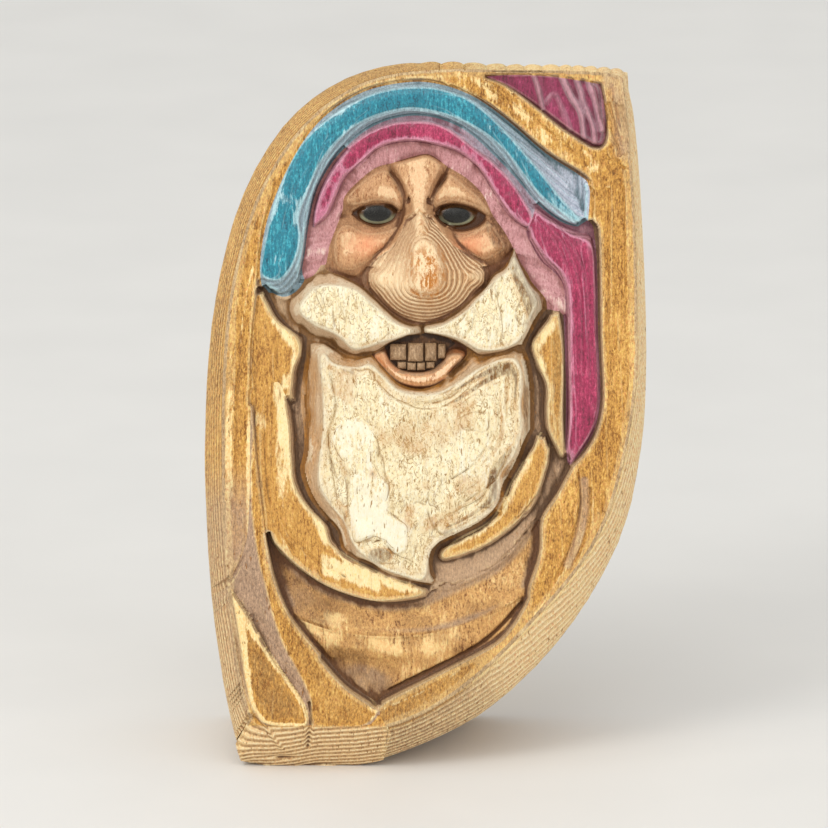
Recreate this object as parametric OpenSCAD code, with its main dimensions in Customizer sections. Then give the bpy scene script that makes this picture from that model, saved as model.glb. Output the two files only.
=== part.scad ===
// Tomte gnome figurine: a deep relief carved into the leaning front of one thick block of softwood.
// The carved and painted regions are separate solids that stand side by side on the floor of the carving.
//
// Row frame: +X to the viewer's right, +Y towards the back, +Z up. The origin is the centre of the
// bounding box at the level of the flat foot.
// Face frame: u to the right, v up the leaning face, w out of the face. The plane w = 0 is the front of
// the uncut border, and the carving's floor is at w = -relief_depth. Every outline is drawn in (u, v).

/* [Stance] */
// Lean of the carved face back from upright, in degrees
lean = 10; // [8:0.5:12]
// Slope of the block's sawn sides, which run back and down from the face, in degrees
side_slope = 15; // [13:0.5:16]
// Distance from the foot of the face plane back to the flat rear face
block_depth = 52; // [48:1:60]

/* [Carving] */
// Depth of the carving's floor below the border
relief_depth = 10; // [8:0.5:12]
// Number of growth-ring steps on the ledge above the foot
ledge_steps = 9; // [5:1:11]
// Height of the ledge, measured up the face
ledge_height = 11; // [9:0.5:13]

/* [Crown heights] */
// Highest point of the nose above the border
nose_top = 7; // [5:0.5:9]
// Highest point of the beard above the border
beard_top = 3; // [1:0.5:5]
// Highest point of the moustache above the border
moustache_top = 2; // [1:0.5:4]
// Highest point of the blue hat band, from the border
band_top = -0.5; // [-2:0.5:1]
// Highest point of the red hat brim and tail, from the border
brim_top = -1.5; // [-3:0.5:0]
// Highest point of the cheeks and brows, from the border
cheek_top = -2.5; // [-4:0.5:-1]
// Highest point of the hair and the outer beard, from the border
hair_top = -1; // [-3:0.5:0]
// Highest point of the robe's folds, from the border
fold_top = -1; // [-3:0.5:0]

/* [Details] */
// Number of teeth in each row
teeth = 4; // [3:1:5]
// Number of gouged grooves across the corner panel
panel_grooves = 5; // [3:1:6]

/* [Hidden] */
$fn = 160;

wood_brown = [0.76, 0.55, 0.28];
wood_light = [0.87, 0.72, 0.47];
wood_dark = [0.62, 0.42, 0.24];
cream = [0.93, 0.88, 0.73];
skin = [0.91, 0.68, 0.49];
skin_dark = [0.74, 0.52, 0.38];
blue = [0.16, 0.55, 0.62];
red_violet = [0.66, 0.16, 0.38];
dusty_pink = [0.70, 0.52, 0.53];
lip_pink = [0.85, 0.60, 0.47];
tooth_grey = [0.62, 0.53, 0.45];
eye_grey = [0.20, 0.20, 0.18];

bottom = -relief_depth;             // w of the carving's floor
big = 400;                          // larger than the whole block
curve_steps = 4;                    // straight pieces between two points of a curve
foot_rise = relief_depth * sin(lean);  // lifts the front edge of the foot to z = 0
x_shift = 0.09;                     // centres the bounding box on x = 0
front_y = ledge_height * (1 - 1 / ledge_steps) * sin(lean);  // the ledge's top step is the foremost edge
y_shift = -(block_depth + front_y) / 2;                      // centres the bounding box on y = 0

// ---------------------------------------------------------------- curves

// Point at t between b and c on the curve through a, b, c and d
function between(a, b, c, d, t) =
    ((-t + 2 * t * t - t * t * t) * a + (2 - 5 * t * t + 3 * t * t * t) * b
    + (t + 4 * t * t - 3 * t * t * t) * c + (-t * t + t * t * t) * d) / 2;

// Smooth open curve through the points, without its last point
function run(p, n = curve_steps) = let (m = len(p)) [
    for (i = [0 : m - 2]) for (k = [0 : n - 1])
        between(p[max(i - 1, 0)], p[i], p[i + 1], p[min(i + 2, m - 1)], k / n)
];

// Closed outline made of smooth runs that meet at corners; each run starts at a corner
function outline(runs, n = curve_steps) = [
    for (i = [0 : len(runs) - 1])
        each run([each runs[i], runs[(i + 1) % len(runs)][0]], n)
];

// ---------------------------------------------------------------- outlines, in millimetres on the face

// The block: corners at the top right and the bottom left, round at the other two
block_runs = [
    [[-46.5, 1.5], [-49.5, 13], [-52, 27], [-54, 43], [-55.2, 62], [-55.5, 82], [-54.5, 104], [-51.5, 125],
     [-45.5, 145], [-36, 161], [-24.5, 171], [-11, 176.3], [4, 177.6], [20, 177], [36, 176.8], [47.5, 176]],
    [[50.5, 175], [52.5, 160], [54, 140], [55, 118], [55.3, 98], [54, 80], [50.5, 62.5], [44, 47.5],
     [34.5, 33], [24, 21.5], [13, 12.5], [0, 5.8], [-13, 1.2], [-25, -0.3], [-37, -0.2]]
];
// Where the flat front of the border begins, point for point inside the block's outline
rim_runs = [
    [[-43.5, 11], [-46, 18], [-48, 29], [-49.5, 44], [-50.7, 62], [-51, 82], [-50.5, 104], [-48, 124],
     [-42.5, 143], [-33.5, 158.5], [-23, 168.6], [-11, 174.2], [4, 176], [20, 175.8], [36, 175.6], [46, 174.9]],
    [[49, 173.4], [50.7, 158], [51.9, 140], [52.5, 118], [52.3, 98], [49, 78], [43.5, 61], [35.5, 49],
     [26, 38.5], [16.5, 28.5], [7, 20.5], [-2, 14.8], [-12, 11.5], [-24, 10.8], [-35, 10.8]]
];
block_outline = outline(block_runs, 3);
rim_outline = outline(rim_runs, 3);

// Field inside the border, where the gnome is carved
field_outline = outline([
    [[-43.5, 96], [-43.2, 108], [-42, 121], [-41.4, 130], [-39.6, 139.5], [-35.3, 150], [-30, 159.3],
     [-24, 165.6], [-15.5, 170.7], [-6, 172.9], [2, 172.8], [11, 169.9], [20, 163.8], [30, 155.2], [39.5, 149.3]],
    [[42.3, 146], [43, 128], [43.3, 110], [43.9, 94], [42.5, 86], [39.5, 80.5]],
    [[36, 76.5], [32.5, 70], [28.5, 63.5], [28, 55], [25.5, 47]],
    [[25.2, 43.5], [21.5, 37], [17, 32.3], [8, 27.5], [-1, 22.9], [-10, 18.3]],
    [[-12.3, 16.6], [-20, 22], [-27, 30.2], [-34, 39.3], [-37.5, 47.8], [-39.2, 55], [-40.2, 61], [-42, 75], [-43, 86]]
]);

band_outline = outline([
    [[-40.2, 121.5], [-41.2, 128], [-39.3, 138.5], [-35.2, 149.5], [-29.8, 158.8], [-23.8, 165.2],
     [-15.3, 170.2], [-6, 172.4], [2, 172.3], [11, 169.4], [19.5, 163.6], [29.7, 154.8], [36.5, 150.2], [41.5, 146]],
    [[42.3, 141.5], [41.5, 137.3], [38, 136.8], [33.5, 138.3], [28, 142.6], [23.3, 148.4], [17.5, 154.5],
     [10, 161], [1.5, 164.4], [-7, 164.3], [-15, 161.2], [-22, 155], [-27, 146.5], [-29.2, 138],
     [-30.4, 129.5], [-32.2, 121.8], [-36, 119.4]]
]);
brim_outline = outline([
    [[-28.3, 136.2], [-28.2, 140], [-26.3, 146.3], [-21.5, 154.2], [-14.6, 160.4], [-6.8, 163.6], [1.4, 163.7],
     [9.6, 160.4], [17, 153.8], [22.8, 147.6]],
    [[27.3, 142.2], [26.6, 139], [25, 136.3], [20.5, 139.6], [16.8, 145.3], [13, 151], [8.6, 154.8],
     [3, 156.8], [-4.5, 157.8], [-11.5, 156.3], [-15.5, 152.7], [-20, 149], [-22.2, 144.3], [-24.6, 139.3]]
]);
tail_outline = outline([
    [[27.6, 142], [30.8, 139.4], [35, 137]],
    [[41, 136], [42.4, 128], [42.8, 110], [43.4, 94], [42.2, 86.3], [39.3, 80.8]],
    [[36.2, 77.1], [35.1, 82], [35.3, 92], [34.9, 106], [34.7, 120], [32.6, 124.6], [28.6, 128.2], [25.6, 133.4]],
    [[22.3, 137.8], [25.2, 136.1]]
]);
panel_outline = outline([
    [[14, 174.2], [22, 174.6], [31, 174.2], [40, 172.9]],
    [[43.4, 172.2], [44.8, 165], [44.8, 159.5], [43.6, 156.9]],
    [[41.2, 156.9], [34, 161.6], [26, 168], [19.5, 172.4]]
]);
hood_edge_outline = outline([
    [[7, 180], [10.5, 174.8], [17.5, 172.8], [25, 167.8], [33, 161.3], [40.5, 156.4], [46.5, 154.3]],
    [[56, 151], [56, 147]],
    [[42.6, 146.6], [36.5, 150.5], [29.8, 155.1], [19.7, 164], [11.1, 169.8], [5.5, 172.1]],
    [[1.5, 180]]
]);
lining_outline = outline([
    [[-30.5, 136], [-28, 145], [-20, 156], [-8, 161], [3, 160.5], [13, 155.5], [21, 145], [29, 135], [34, 127], [37, 121]],
    [[35.5, 114.8], [32.6, 115.6], [29.6, 119.2], [26.6, 122.8], [24.3, 126.8]],
    [[10, 138], [-6, 143], [-20, 136]],
    [[-26, 127], [-28.2, 124.5], [-31, 126]]
]);
face_outline = outline([
    [[-24.2, 127], [-24.3, 131], [-22.6, 136], [-20.9, 140.5], [-20.3, 144.2], [-16.6, 148.2], [-12.6, 151.3]],
    [[-8.8, 152.4], [-3, 154.2], [1, 154.6], [5.4, 151.6], [10, 148.8], [14.2, 144.6], [16.6, 139.6], [19.6, 135.3], [21.9, 131]],
    [[23.5, 126], [0, 105], [-25, 122]]
]);
nose_outline = outline([
    [[-2, 146.5], [-4.6, 143], [-4.8, 139.5], [-6.3, 135.5], [-8.6, 131.6], [-12.6, 128.5], [-15.4, 125.2], [-15.8, 122.2],
     [-12.2, 118.2], [-8, 114.5], [-4, 112.6], [0, 112.2], [4, 113.4], [8, 116], [11.5, 119], [14.6, 121.6], [15.3, 124.5],
     [14, 127.8], [10.6, 129.8], [6.8, 132.2], [4, 135.4], [1.8, 139], [0.9, 143]]
]);
forehead_outline = outline([
    [[-9.3, 153], [-8.8, 150], [-6.6, 147.2], [-5.2, 144]],
    [[-4.6, 141], [0.8, 141]],
    [[1.2, 143.5], [3, 146.5], [4.9, 149]],
    [[5.6, 152.5], [1, 156], [-4, 156]]
]);
eye_left_outline = outline([
    [[-18.4, 139.8], [-15.8, 141.4], [-12.4, 142.1], [-9, 141.8]],
    [[-7, 140.4], [-8.6, 138], [-12.3, 136.8], [-15.8, 137.8]]
]);
eye_right_outline = outline([
    [[1.9, 140.2], [4.2, 141.6], [7.6, 142], [11.4, 141.1]],
    [[15, 139], [13.2, 136.9], [9, 135.7], [4.6, 137.2]]
]);
moustache_left_outline = outline([
    [[-38.4, 119.6], [-35, 118.6], [-31.2, 120.6], [-28.4, 123.8]],
    [[-26.2, 127], [-24, 125.3], [-20.3, 124], [-16, 121.6], [-12, 118.2], [-7.8, 114.3], [-4.2, 112.3]],
    [[-0.5, 111.9], [-0.5, 109.9]],
    [[-4.5, 109.2], [-9, 107.3], [-12.2, 105.2], [-16, 104.2], [-20, 104.6], [-23, 106.2], [-26, 107.9], [-29.2, 108.9],
     [-33, 111.2], [-36.6, 115.2]]
]);
moustache_right_outline = outline([
    [[-0.5, 109.9], [-0.5, 111.9]],
    [[4.2, 113.3], [8, 115.9], [11.6, 119], [14.6, 121.6], [16.8, 124.6], [19.8, 126.8]],
    [[22, 131.3], [23.4, 128], [26, 123], [29, 119.6], [29.6, 117.6], [27.4, 114.6], [26, 110.4], [24.2, 107.4]],
    [[21, 105.9], [17, 104.5], [13.5, 104.2], [10.5, 106], [7.5, 107.8], [3.5, 109.2]]
]);
mouth_outline = outline([
    [[-13.6, 104.6], [-10, 100.4], [-6.4, 97.2], [-1.4, 96], [3.6, 97.6], [7, 101], [10.2, 104.4]],
    [[9.6, 107.4], [4, 110], [-4, 110], [-10, 107.4]]
]);
mouth_gap_outline = outline([
    [[-9.9, 105.6], [-8.6, 102.8], [-6, 100.9], [-2, 100.4], [1.6, 101], [4, 103], [5, 105.4]],
    [[7.4, 107.2], [2, 111], [-6, 111], [-11, 108]]
]);
beard_outline = outline([
    [[-29.4, 107.6], [-28.8, 100], [-29.6, 92], [-29, 85], [-29.2, 79], [-30.3, 74.5], [-28.6, 69], [-25.6, 64.5],
     [-22, 60.4], [-20.8, 56], [-17.6, 53.6], [-13.6, 51.9], [-9.6, 49.3], [-4.6, 47.9], [-0.6, 46.9]],
    [[2, 46.4], [1.3, 50], [1, 54], [1.6, 57]],
    [[5, 59], [10, 61.4], [14.4, 64.2], [18, 67.8], [19.4, 72.4], [21.8, 76.2], [23.6, 80], [24.6, 85], [24.8, 91],
     [24.6, 97], [25, 101.6]],
    [[23.6, 105], [18, 108], [0, 110.5], [-20, 108]]
]);
left_hair_outline = outline([
    [[-40.8, 120.6], [-41.9, 112], [-42.9, 103], [-43.2, 96.4]],
    [[-39.6, 97.3], [-36.8, 98.2], [-35.2, 95.2]],
    [[-33.2, 91.8], [-33.3, 96.6], [-32.3, 101.4], [-30.6, 105.8]],
    [[-30.4, 109.2], [-33.4, 110.6], [-37, 114.2], [-39, 117.8]]
]);
outer_beard_left_outline = outline([
    [[-43.1, 95.6], [-42.7, 86], [-41.7, 75], [-39.9, 61.4]],
    [[-38.4, 56.9], [-34, 52.2], [-27, 47], [-20, 43.9], [-12, 41.9], [-5, 42], [0.6, 43.3], [5.2, 45.6]],
    [[2.2, 45.9], [-0.8, 46.4], [-5, 47.3], [-10, 48.6], [-14, 51.2], [-18, 52.8], [-21.4, 55.2], [-22.8, 60], [-26.4, 63.6],
     [-29.8, 67.8], [-31.6, 72], [-33, 76.4], [-32.2, 80.6], [-32.1, 85], [-33.3, 91]],
    [[-35.6, 94.6], [-37, 97.4], [-39.6, 96.6]]
]);
right_hair_outline = outline([
    [[33.6, 115.6], [31, 114.6], [28, 111], [26, 107.6], [27.6, 102], [29.6, 96.4], [29.5, 90], [30, 85]],
    [[31.4, 81.4], [33.2, 78.2]],
    [[35, 77.6], [34.8, 86], [34.9, 96], [34.5, 108]]
]);
outer_beard_right_outline = outline([
    [[30, 84.4], [26.4, 81.8], [24.8, 78.4], [22.6, 73.8], [20.9, 70.6], [19.4, 65.6], [15, 60.6], [9, 57.6], [4.2, 55.2],
     [2.2, 51.4], [3.6, 47.8]],
    [[6.2, 45.8], [11, 48], [16, 50.4], [21, 54.4], [25.4, 60], [30, 65.6], [33, 71]],
    [[35.6, 76.8], [33.2, 77.8], [31.2, 81]]
]);
fold_upper_outline = outline([
    [[-40.1, 60.8], [-38.7, 56.5], [-34.2, 51.8], [-27.2, 46.6], [-20, 43.5], [-12, 41.5], [-5, 41.6], [1, 43], [6.4, 45.4],
     [11.2, 47.6], [16.2, 50], [21.4, 54.2], [25.6, 59.6]],
    [[28.2, 63], [27.8, 55], [25.5, 47]],
    [[25, 43.6], [19, 40.2], [10, 37], [2, 34.6], [-6, 33.7], [-15, 33.9], [-24, 35.3], [-31, 37.7]],
    [[-33.8, 39.5], [-37.3, 47.9], [-39, 55]]
]);
fold_lower_outline = outline([
    [[-33.4, 38.9], [-31, 37.4], [-24, 35], [-15, 33.6], [-6, 33.4], [2, 34.3], [10, 36.7], [19, 39.9]],
    [[24.6, 43], [21.3, 37.2], [16.8, 32.6], [7.9, 27.8], [-1.1, 23.2], [-9.8, 18.8]],
    [[-12.3, 16.9], [-19.8, 22.3], [-26.8, 30.5]]
]);
leaf_outline = outline([
    [[-49.6, 46.8], [-46.8, 42.8], [-43.6, 37.8], [-39.6, 30.4], [-34.6, 23], [-31, 17.8], [-29.4, 13.8]],
    [[-29.2, 11.2], [-40.2, 11.2]],
    [[-43.2, 14.6], [-45.2, 19.4], [-46.6, 26], [-47.9, 34], [-48.9, 41]]
]);
left_fold_outline = outline([
    [[-43.8, 95.6], [-43.2, 86], [-42.2, 75], [-40.5, 61.2], [-39.5, 55], [-37.8, 47.7], [-34.2, 39.1], [-27.2, 29.9],
     [-20.2, 21.8], [-12.6, 16.4]],
    [[-11.6, 14.2], [-13.8, 11.6]],
    [[-17, 11.1], [-29, 11.1]],
    [[-29.2, 13.8], [-30.8, 18], [-34.4, 23.2], [-39.4, 30.6], [-43.4, 38], [-46.6, 43]],
    [[-49.6, 47.2], [-47.2, 51.5], [-45, 58], [-44.2, 68], [-44, 82]]
]);

// ---------------------------------------------------------------- frames and shared shapes

// Face frame to row frame
module face_frame() {
    translate([x_shift, y_shift, foot_rise])
        rotate([90 - lean, 0, 0])
            children();
}

// Keeps what stands above the foot's plane and in front of the rear face
module trimmed() {
    intersection() {
        children();
        translate([-big / 2, -big, 0]) cube([big, big + block_depth + y_shift, big]);
    }
}

// Upright solid on the carving's floor, up to w = top
module raised(top) {
    translate([0, 0, bottom]) linear_extrude(top - bottom) children();
}

// Raised solid whose top is part of a ball of radius r, highest at (u, v)
module domed(top, r, at) {
    intersection() {
        raised(top) children();
        translate([at.x, at.y, top - r]) sphere(r);
    }
}

// Raised solid whose top is part of a cylinder of radius r that runs along the direction turn,
// in degrees from +v towards -u, through (u, v)
module rounded(top, r, at, turn = 0) {
    intersection() {
        raised(top) children();
        translate([at.x, at.y, top - r]) rotate([0, 0, turn]) rotate([90, 0, 0])
            cylinder(r = r, h = big, center = true);
    }
}

// The block's rounded front edge: the block's outline at the carving's floor, drawn in to the rim's outline in front
module edge_form() {
    n = len(block_outline);
    levels = [[bottom - 0.5, 0], [bottom * 0.55, 0.22], [bottom * 0.22, 0.58], [0, 1]];
    rings = [for (l = levels) for (i = [0 : n - 1])
        let (p = block_outline[i] * (1 - l[1]) + rim_outline[i] * l[1]) [p.x, p.y, l[0]]];
    top = len(levels) - 1;
    polyhedron(rings, [
        [for (i = [0 : n - 1]) i],
        for (k = [0 : top - 1]) for (i = [0 : n - 1]) let (j = (i + 1) % n)
            [k * n + j, k * n + i, (k + 1) * n + i, (k + 1) * n + j],
        [for (i = [n - 1 : -1 : 0]) top * n + i]
    ]);
}

// A part of the border: the region given, cut to the rounded edge of the block
module border(top = 0) {
    trimmed() face_frame() intersection() {
        edge_form();
        raised(top) difference() {
            children();
            polygon(field_outline);
        }
    }
}

// ---------------------------------------------------------------- the block and its border

module back_block() {
    tilt = side_slope - lean;
    flattened = [for (p = block_outline) [p.x, p.y * cos(tilt)]];
    color(wood_light) intersection() {
        trimmed() face_frame() translate([0, 0, bottom]) rotate([-tilt, 0, 0])
            translate([0, 0, -big / 2]) linear_extrude(big) polygon(flattened);
        face_frame() translate([-big / 2, -big / 2, bottom - big]) cube(big);
    }
}

module border_left() {
    color(wood_brown) border() difference() {
        polygon([[-60, -5], [-49.5, -5], [-43.5, 11], [-29, 20], [-10, 90], [6.5, 168], [6.5, 185], [-60, 185]]);
        polygon(left_fold_outline);
        polygon(leaf_outline);
        polygon(ledge_area);
        polygon(hood_edge_outline);
    }
}

module border_corner() {
    color(wood_brown) border() difference() {
        polygon([[6.5, 185], [6.5, 168], [44, 150], [60, 150], [60, 185]]);
        polygon(hood_edge_outline);
        polygon(panel_outline);
    }
}

module border_right() {
    color(wood_brown) border(-0.5) difference() {
        polygon([[-14.5, -5], [-13.4, 12.6], [-11.4, 14.6], [-11.8, 17.4], [0, 60], [40, 151.5], [60, 151.5], [60, -5]]);
        polygon(hood_edge_outline);
        polygon(left_fold_outline);
        polygon(ledge_area);
    }
}

module hood_edge() {
    color(wood_light) border(-0.3) difference() {
        polygon(hood_edge_outline);
        polygon(panel_outline);
    }
}

ledge_area = [[-49.5, -6], [-49.5, 2], [-43.2, 14.6], [-40.2, 11.2], [-29.2, 11.2], [-17, 11.1], [-13.8, 11.6], [-11.6, 14.2],
              [-9, 9], [-13, -6]];

// Growth rings stand out as steps from the foot up to the border's front
module foot_ledge() {
    step_w = relief_depth / ledge_steps;
    step_v = ledge_height / ledge_steps;
    stairs = [
        for (k = [0 : ledge_steps - 1]) each [[k * step_v, bottom + k * step_w], [k * step_v, bottom + (k + 1) * step_w]]
    ];
    color(wood_light) trimmed() face_frame() intersection() {
        raised(0) intersection() {
            polygon(ledge_area);
            polygon(block_outline);
        }
        translate([-60, 0, 0]) rotate([90, 0, 90]) linear_extrude(60)
            polygon([[-6, bottom], [-6, bottom + step_w], each stairs, [40, 0], [40, bottom]]);
    }
}

// ---------------------------------------------------------------- robe

module corner_leaf() {
    color(wood_brown) trimmed() face_frame() rounded(0, 70, [-38, 14], 25) polygon(leaf_outline);
}

module left_fold() {
    color(wood_brown) trimmed() face_frame() rounded(-0.3, 60, [-42, 30], 28) difference() {
        polygon(left_fold_outline);
        polygon(field_outline);
    }
}

module robe_fold_upper() {
    color(wood_dark) trimmed() face_frame() rounded(fold_top, 28, [-8, 42], 90) polygon(fold_upper_outline);
}

module robe_fold_lower() {
    color(wood_brown) trimmed() face_frame() rounded(fold_top, 34, [-6, 33], 90) polygon(fold_lower_outline);
}

// ---------------------------------------------------------------- hair and beard

module left_hair() {
    color(wood_brown) face_frame() rounded(hair_top, 14, [-37, 105], 4) polygon(left_hair_outline);
}

module outer_beard_left() {
    color(wood_light) face_frame() domed(hair_top, 90, [-34, 62]) polygon(outer_beard_left_outline);
}

module right_hair() {
    color(wood_light) face_frame() rounded(hair_top, 12, [31, 98], -4) polygon(right_hair_outline);
}

module outer_beard_right() {
    color(wood_light) face_frame() domed(hair_top - 0.5, 50, [24, 68]) polygon(outer_beard_right_outline);
}

module beard() {
    color(cream) face_frame() domed(beard_top, 75, [-5, 82]) difference() {
        polygon(beard_outline);
        polygon(moustache_left_outline);
        polygon(moustache_right_outline);
        polygon(mouth_outline);
    }
}

module moustache_left() {
    color(cream) face_frame() domed(moustache_top, 32, [-17, 113]) polygon(moustache_left_outline);
}

module moustache_right() {
    color(cream) face_frame() domed(moustache_top, 32, [14, 113]) polygon(moustache_right_outline);
}

// ---------------------------------------------------------------- mouth

module mouth_area() {
    difference() {
        polygon(mouth_outline);
        polygon(moustache_left_outline);
        polygon(moustache_right_outline);
    }
}

module lower_lip() {
    color(lip_pink) face_frame() domed(1, 22, [-2, 99]) difference() {
        mouth_area();
        polygon(mouth_gap_outline);
    }
}

module mouth_floor() {
    color(wood_dark) face_frame() raised(-4.5) intersection() {
        mouth_area();
        polygon(mouth_gap_outline);
    }
}

// A row of square teeth on the mouth's floor
module tooth_row(left, right, low, high, top) {
    pitch = (right - left) / teeth;
    gap = 0.5;
    for (i = [0 : teeth - 1])
        translate([left + i * pitch + gap / 2, low, -4.5]) cube([pitch - gap, high - low, top + 4.5]);
}

module upper_teeth() {
    color(tooth_grey) face_frame() tooth_row(-8.6, 3.4, 103.3, 106.4, -1.6);
}

module lower_teeth() {
    color(tooth_grey) face_frame() tooth_row(-6.6, 1.6, 101.4, 102.9, -2);
}

// ---------------------------------------------------------------- face

// The bulb of the nose is a ball and its bridge a cylinder that runs up into the forehead
module nose() {
    bulb_r = 17;
    bridge_r = 7;
    color(skin) face_frame() intersection() {
        raised(nose_top) polygon(nose_outline);
        union() {
            translate([-0.5, 122, nose_top - bulb_r]) sphere(bulb_r);
            translate([-1.8, 118, nose_top - 2 - bridge_r]) rotate([-84, 0, 0]) cylinder(r = bridge_r, h = 40);
        }
    }
}

module face_part() {
    difference() {
        intersection() {
            polygon(face_outline);
            children();
        }
        polygon(nose_outline);
        polygon(moustache_left_outline);
        polygon(moustache_right_outline);
    }
}

module forehead() {
    color(skin) face_frame() rounded(-0.5, 14, [-2, 150]) face_part() polygon(forehead_outline);
}

module brow_left() {
    color(skin) face_frame() domed(cheek_top, 16, [-12.5, 145.5]) face_part() difference() {
        polygon([[-30, 139.8], [-7, 140.4], [-3, 140.4], [-3, 160], [-30, 160]]);
        polygon(forehead_outline);
        polygon(eye_left_outline);
    }
}

module brow_right() {
    color(skin) face_frame() domed(cheek_top, 16, [8, 145.5]) face_part() difference() {
        polygon([[0.2, 140.2], [15, 139], [30, 138.6], [30, 160], [0.2, 160]]);
        polygon(forehead_outline);
        polygon(eye_right_outline);
    }
}

module eye_left() {
    color(eye_grey) face_frame() domed(-4, 9, [-12.4, 139.6]) polygon(eye_left_outline);
}

module eye_right() {
    color(eye_grey) face_frame() domed(-4, 9, [8.2, 139]) polygon(eye_right_outline);
}

module cheek_left() {
    color(skin_dark) face_frame() domed(cheek_top, 18, [-16, 131.5]) face_part() difference() {
        polygon([[-30, 139.8], [-7, 140.4], [-3, 140.4], [-3, 120], [-30, 120]]);
        polygon(eye_left_outline);
    }
}

module cheek_right() {
    color(skin) face_frame() domed(cheek_top, 18, [12, 131.5]) face_part() difference() {
        polygon([[0.2, 140.2], [15, 139], [30, 138.6], [30, 121.5], [0.2, 121.5]]);
        polygon(eye_right_outline);
    }
}

// ---------------------------------------------------------------- hat

module hood_lining() {
    color(dusty_pink) face_frame() raised(-4) difference() {
        polygon(lining_outline);
        polygon(face_outline);
        polygon(band_outline);
        polygon(brim_outline);
        polygon(tail_outline);
        polygon(moustache_left_outline);
        polygon(moustache_right_outline);
        polygon(right_hair_outline);
    }
}

module hat_band() {
    color(blue) face_frame() domed(band_top, 110, [-5, 150]) polygon(band_outline);
}

module hat_brim() {
    color(red_violet) face_frame() domed(brim_top, 110, [-2, 150]) polygon(brim_outline);
}

module hat_tail() {
    color(red_violet) face_frame() rounded(brim_top, 14, [38.5, 105], 0) polygon(tail_outline);
}

// Gouged grooves fan across the panel from the top edge to its lower point
module corner_panel() {
    groove_r = 1.3;
    color(red_violet) face_frame() difference() {
        raised(-1.5) polygon(panel_outline);
        for (i = [0 : panel_grooves - 1])
            translate([27 + i * 4, 172, -1.2]) rotate([0, 0, 30 - i * 5]) rotate([90, 0, 0])
                cylinder(r = groove_r, h = 60, center = true);
    }
}

back_block();
border_left();
border_corner();
border_right();
hood_edge();
foot_ledge();
corner_leaf();
left_fold();
robe_fold_upper();
robe_fold_lower();
left_hair();
outer_beard_left();
right_hair();
outer_beard_right();
beard();
moustache_left();
moustache_right();
lower_lip();
upper_teeth();
lower_teeth();
mouth_floor();
nose();
forehead();
brow_left();
brow_right();
eye_left();
eye_right();
cheek_left();
cheek_right();
hood_lining();
hat_band();
hat_brim();
hat_tail();
corner_panel();
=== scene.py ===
import math

import bpy
import numpy as np
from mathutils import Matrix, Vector
from mathutils.geometry import tessellate_polygon


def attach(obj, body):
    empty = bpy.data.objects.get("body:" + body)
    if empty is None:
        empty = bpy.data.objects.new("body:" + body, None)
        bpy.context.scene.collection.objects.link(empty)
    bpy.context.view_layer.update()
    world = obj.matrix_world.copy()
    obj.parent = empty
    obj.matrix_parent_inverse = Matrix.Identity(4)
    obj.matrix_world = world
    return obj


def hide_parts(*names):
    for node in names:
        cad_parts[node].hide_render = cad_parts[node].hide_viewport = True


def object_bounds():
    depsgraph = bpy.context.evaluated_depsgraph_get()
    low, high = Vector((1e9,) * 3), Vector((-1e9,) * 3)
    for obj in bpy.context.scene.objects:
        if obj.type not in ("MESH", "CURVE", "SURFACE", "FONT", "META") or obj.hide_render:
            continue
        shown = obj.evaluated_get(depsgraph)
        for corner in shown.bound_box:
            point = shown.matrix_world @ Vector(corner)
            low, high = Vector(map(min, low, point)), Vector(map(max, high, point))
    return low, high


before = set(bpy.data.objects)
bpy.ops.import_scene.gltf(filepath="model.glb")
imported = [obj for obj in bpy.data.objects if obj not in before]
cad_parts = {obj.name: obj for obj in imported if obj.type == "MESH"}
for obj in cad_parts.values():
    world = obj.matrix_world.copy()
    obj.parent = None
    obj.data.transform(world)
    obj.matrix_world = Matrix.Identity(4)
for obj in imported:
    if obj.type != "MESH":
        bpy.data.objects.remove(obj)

cad_box = [list(c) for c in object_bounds()]

# ------------------------------------------------------------------ face frame, in millimetres
# u to the right, v up the leaning face, w out of the face; the border's front is w = 0.
# LEAN is the lean of the face. SLOPE is the fall of the side walls towards the back, and the angle at
# which the camera looks down. (X0, Y0, Z0) is the point u = v = w = 0 in the row's frame.

LEAN, SLOPE = math.radians(10), math.radians(15)
SL, CL = math.sin(LEAN), math.cos(LEAN)
FLOOR = -10.0         # the floor of the carving, where the pieces meet the back block
X0, Y0, Z0 = 0.09, cad_box[1][1] * 1000 - 52, -FLOOR * SL
GRID = 0.25      # spacing of the height field
RING = 0.95           # spacing of the growth rings in the depth of the wood


def to_row(u, v, w):
    return np.stack([u + X0, v * SL - w * CL + Y0, v * CL + w * SL + Z0], -1) / 1000


def to_face(co):
    x, y, z = co[:, 0] * 1000 - X0, co[:, 1] * 1000 - Y0, co[:, 2] * 1000 - Z0
    return np.stack([x, y * SL + z * CL, z * SL - y * CL], -1)


# ------------------------------------------------------------------ curves, distances and noise

def spline(pts, closed=True, n=6):
    """Smooth curve through the points, with n points a span."""
    p = np.array(pts, float)
    m = len(p)
    take = (lambda i: p[i % m]) if closed else (lambda i: p[min(max(i, 0), m - 1)])
    out = []
    for i in range(m if closed else m - 1):
        a, b, c, d = take(i - 1), take(i), take(i + 1), take(i + 2)
        for k in range(n):
            t = k / n
            out.append(((-t + 2 * t * t - t ** 3) * a + (2 - 5 * t * t + 3 * t ** 3) * b
                        + (t + 4 * t * t - 3 * t ** 3) * c + (t ** 3 - t * t) * d) / 2)
    if not closed:
        out.append(p[-1])
    return np.array(out)


def chain(p, closed=True):
    """Points to segments (u, v, u, v)."""
    q = np.roll(p, -1, 0) if closed else p[1:]
    return np.hstack([p if closed else p[:-1], q])


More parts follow.
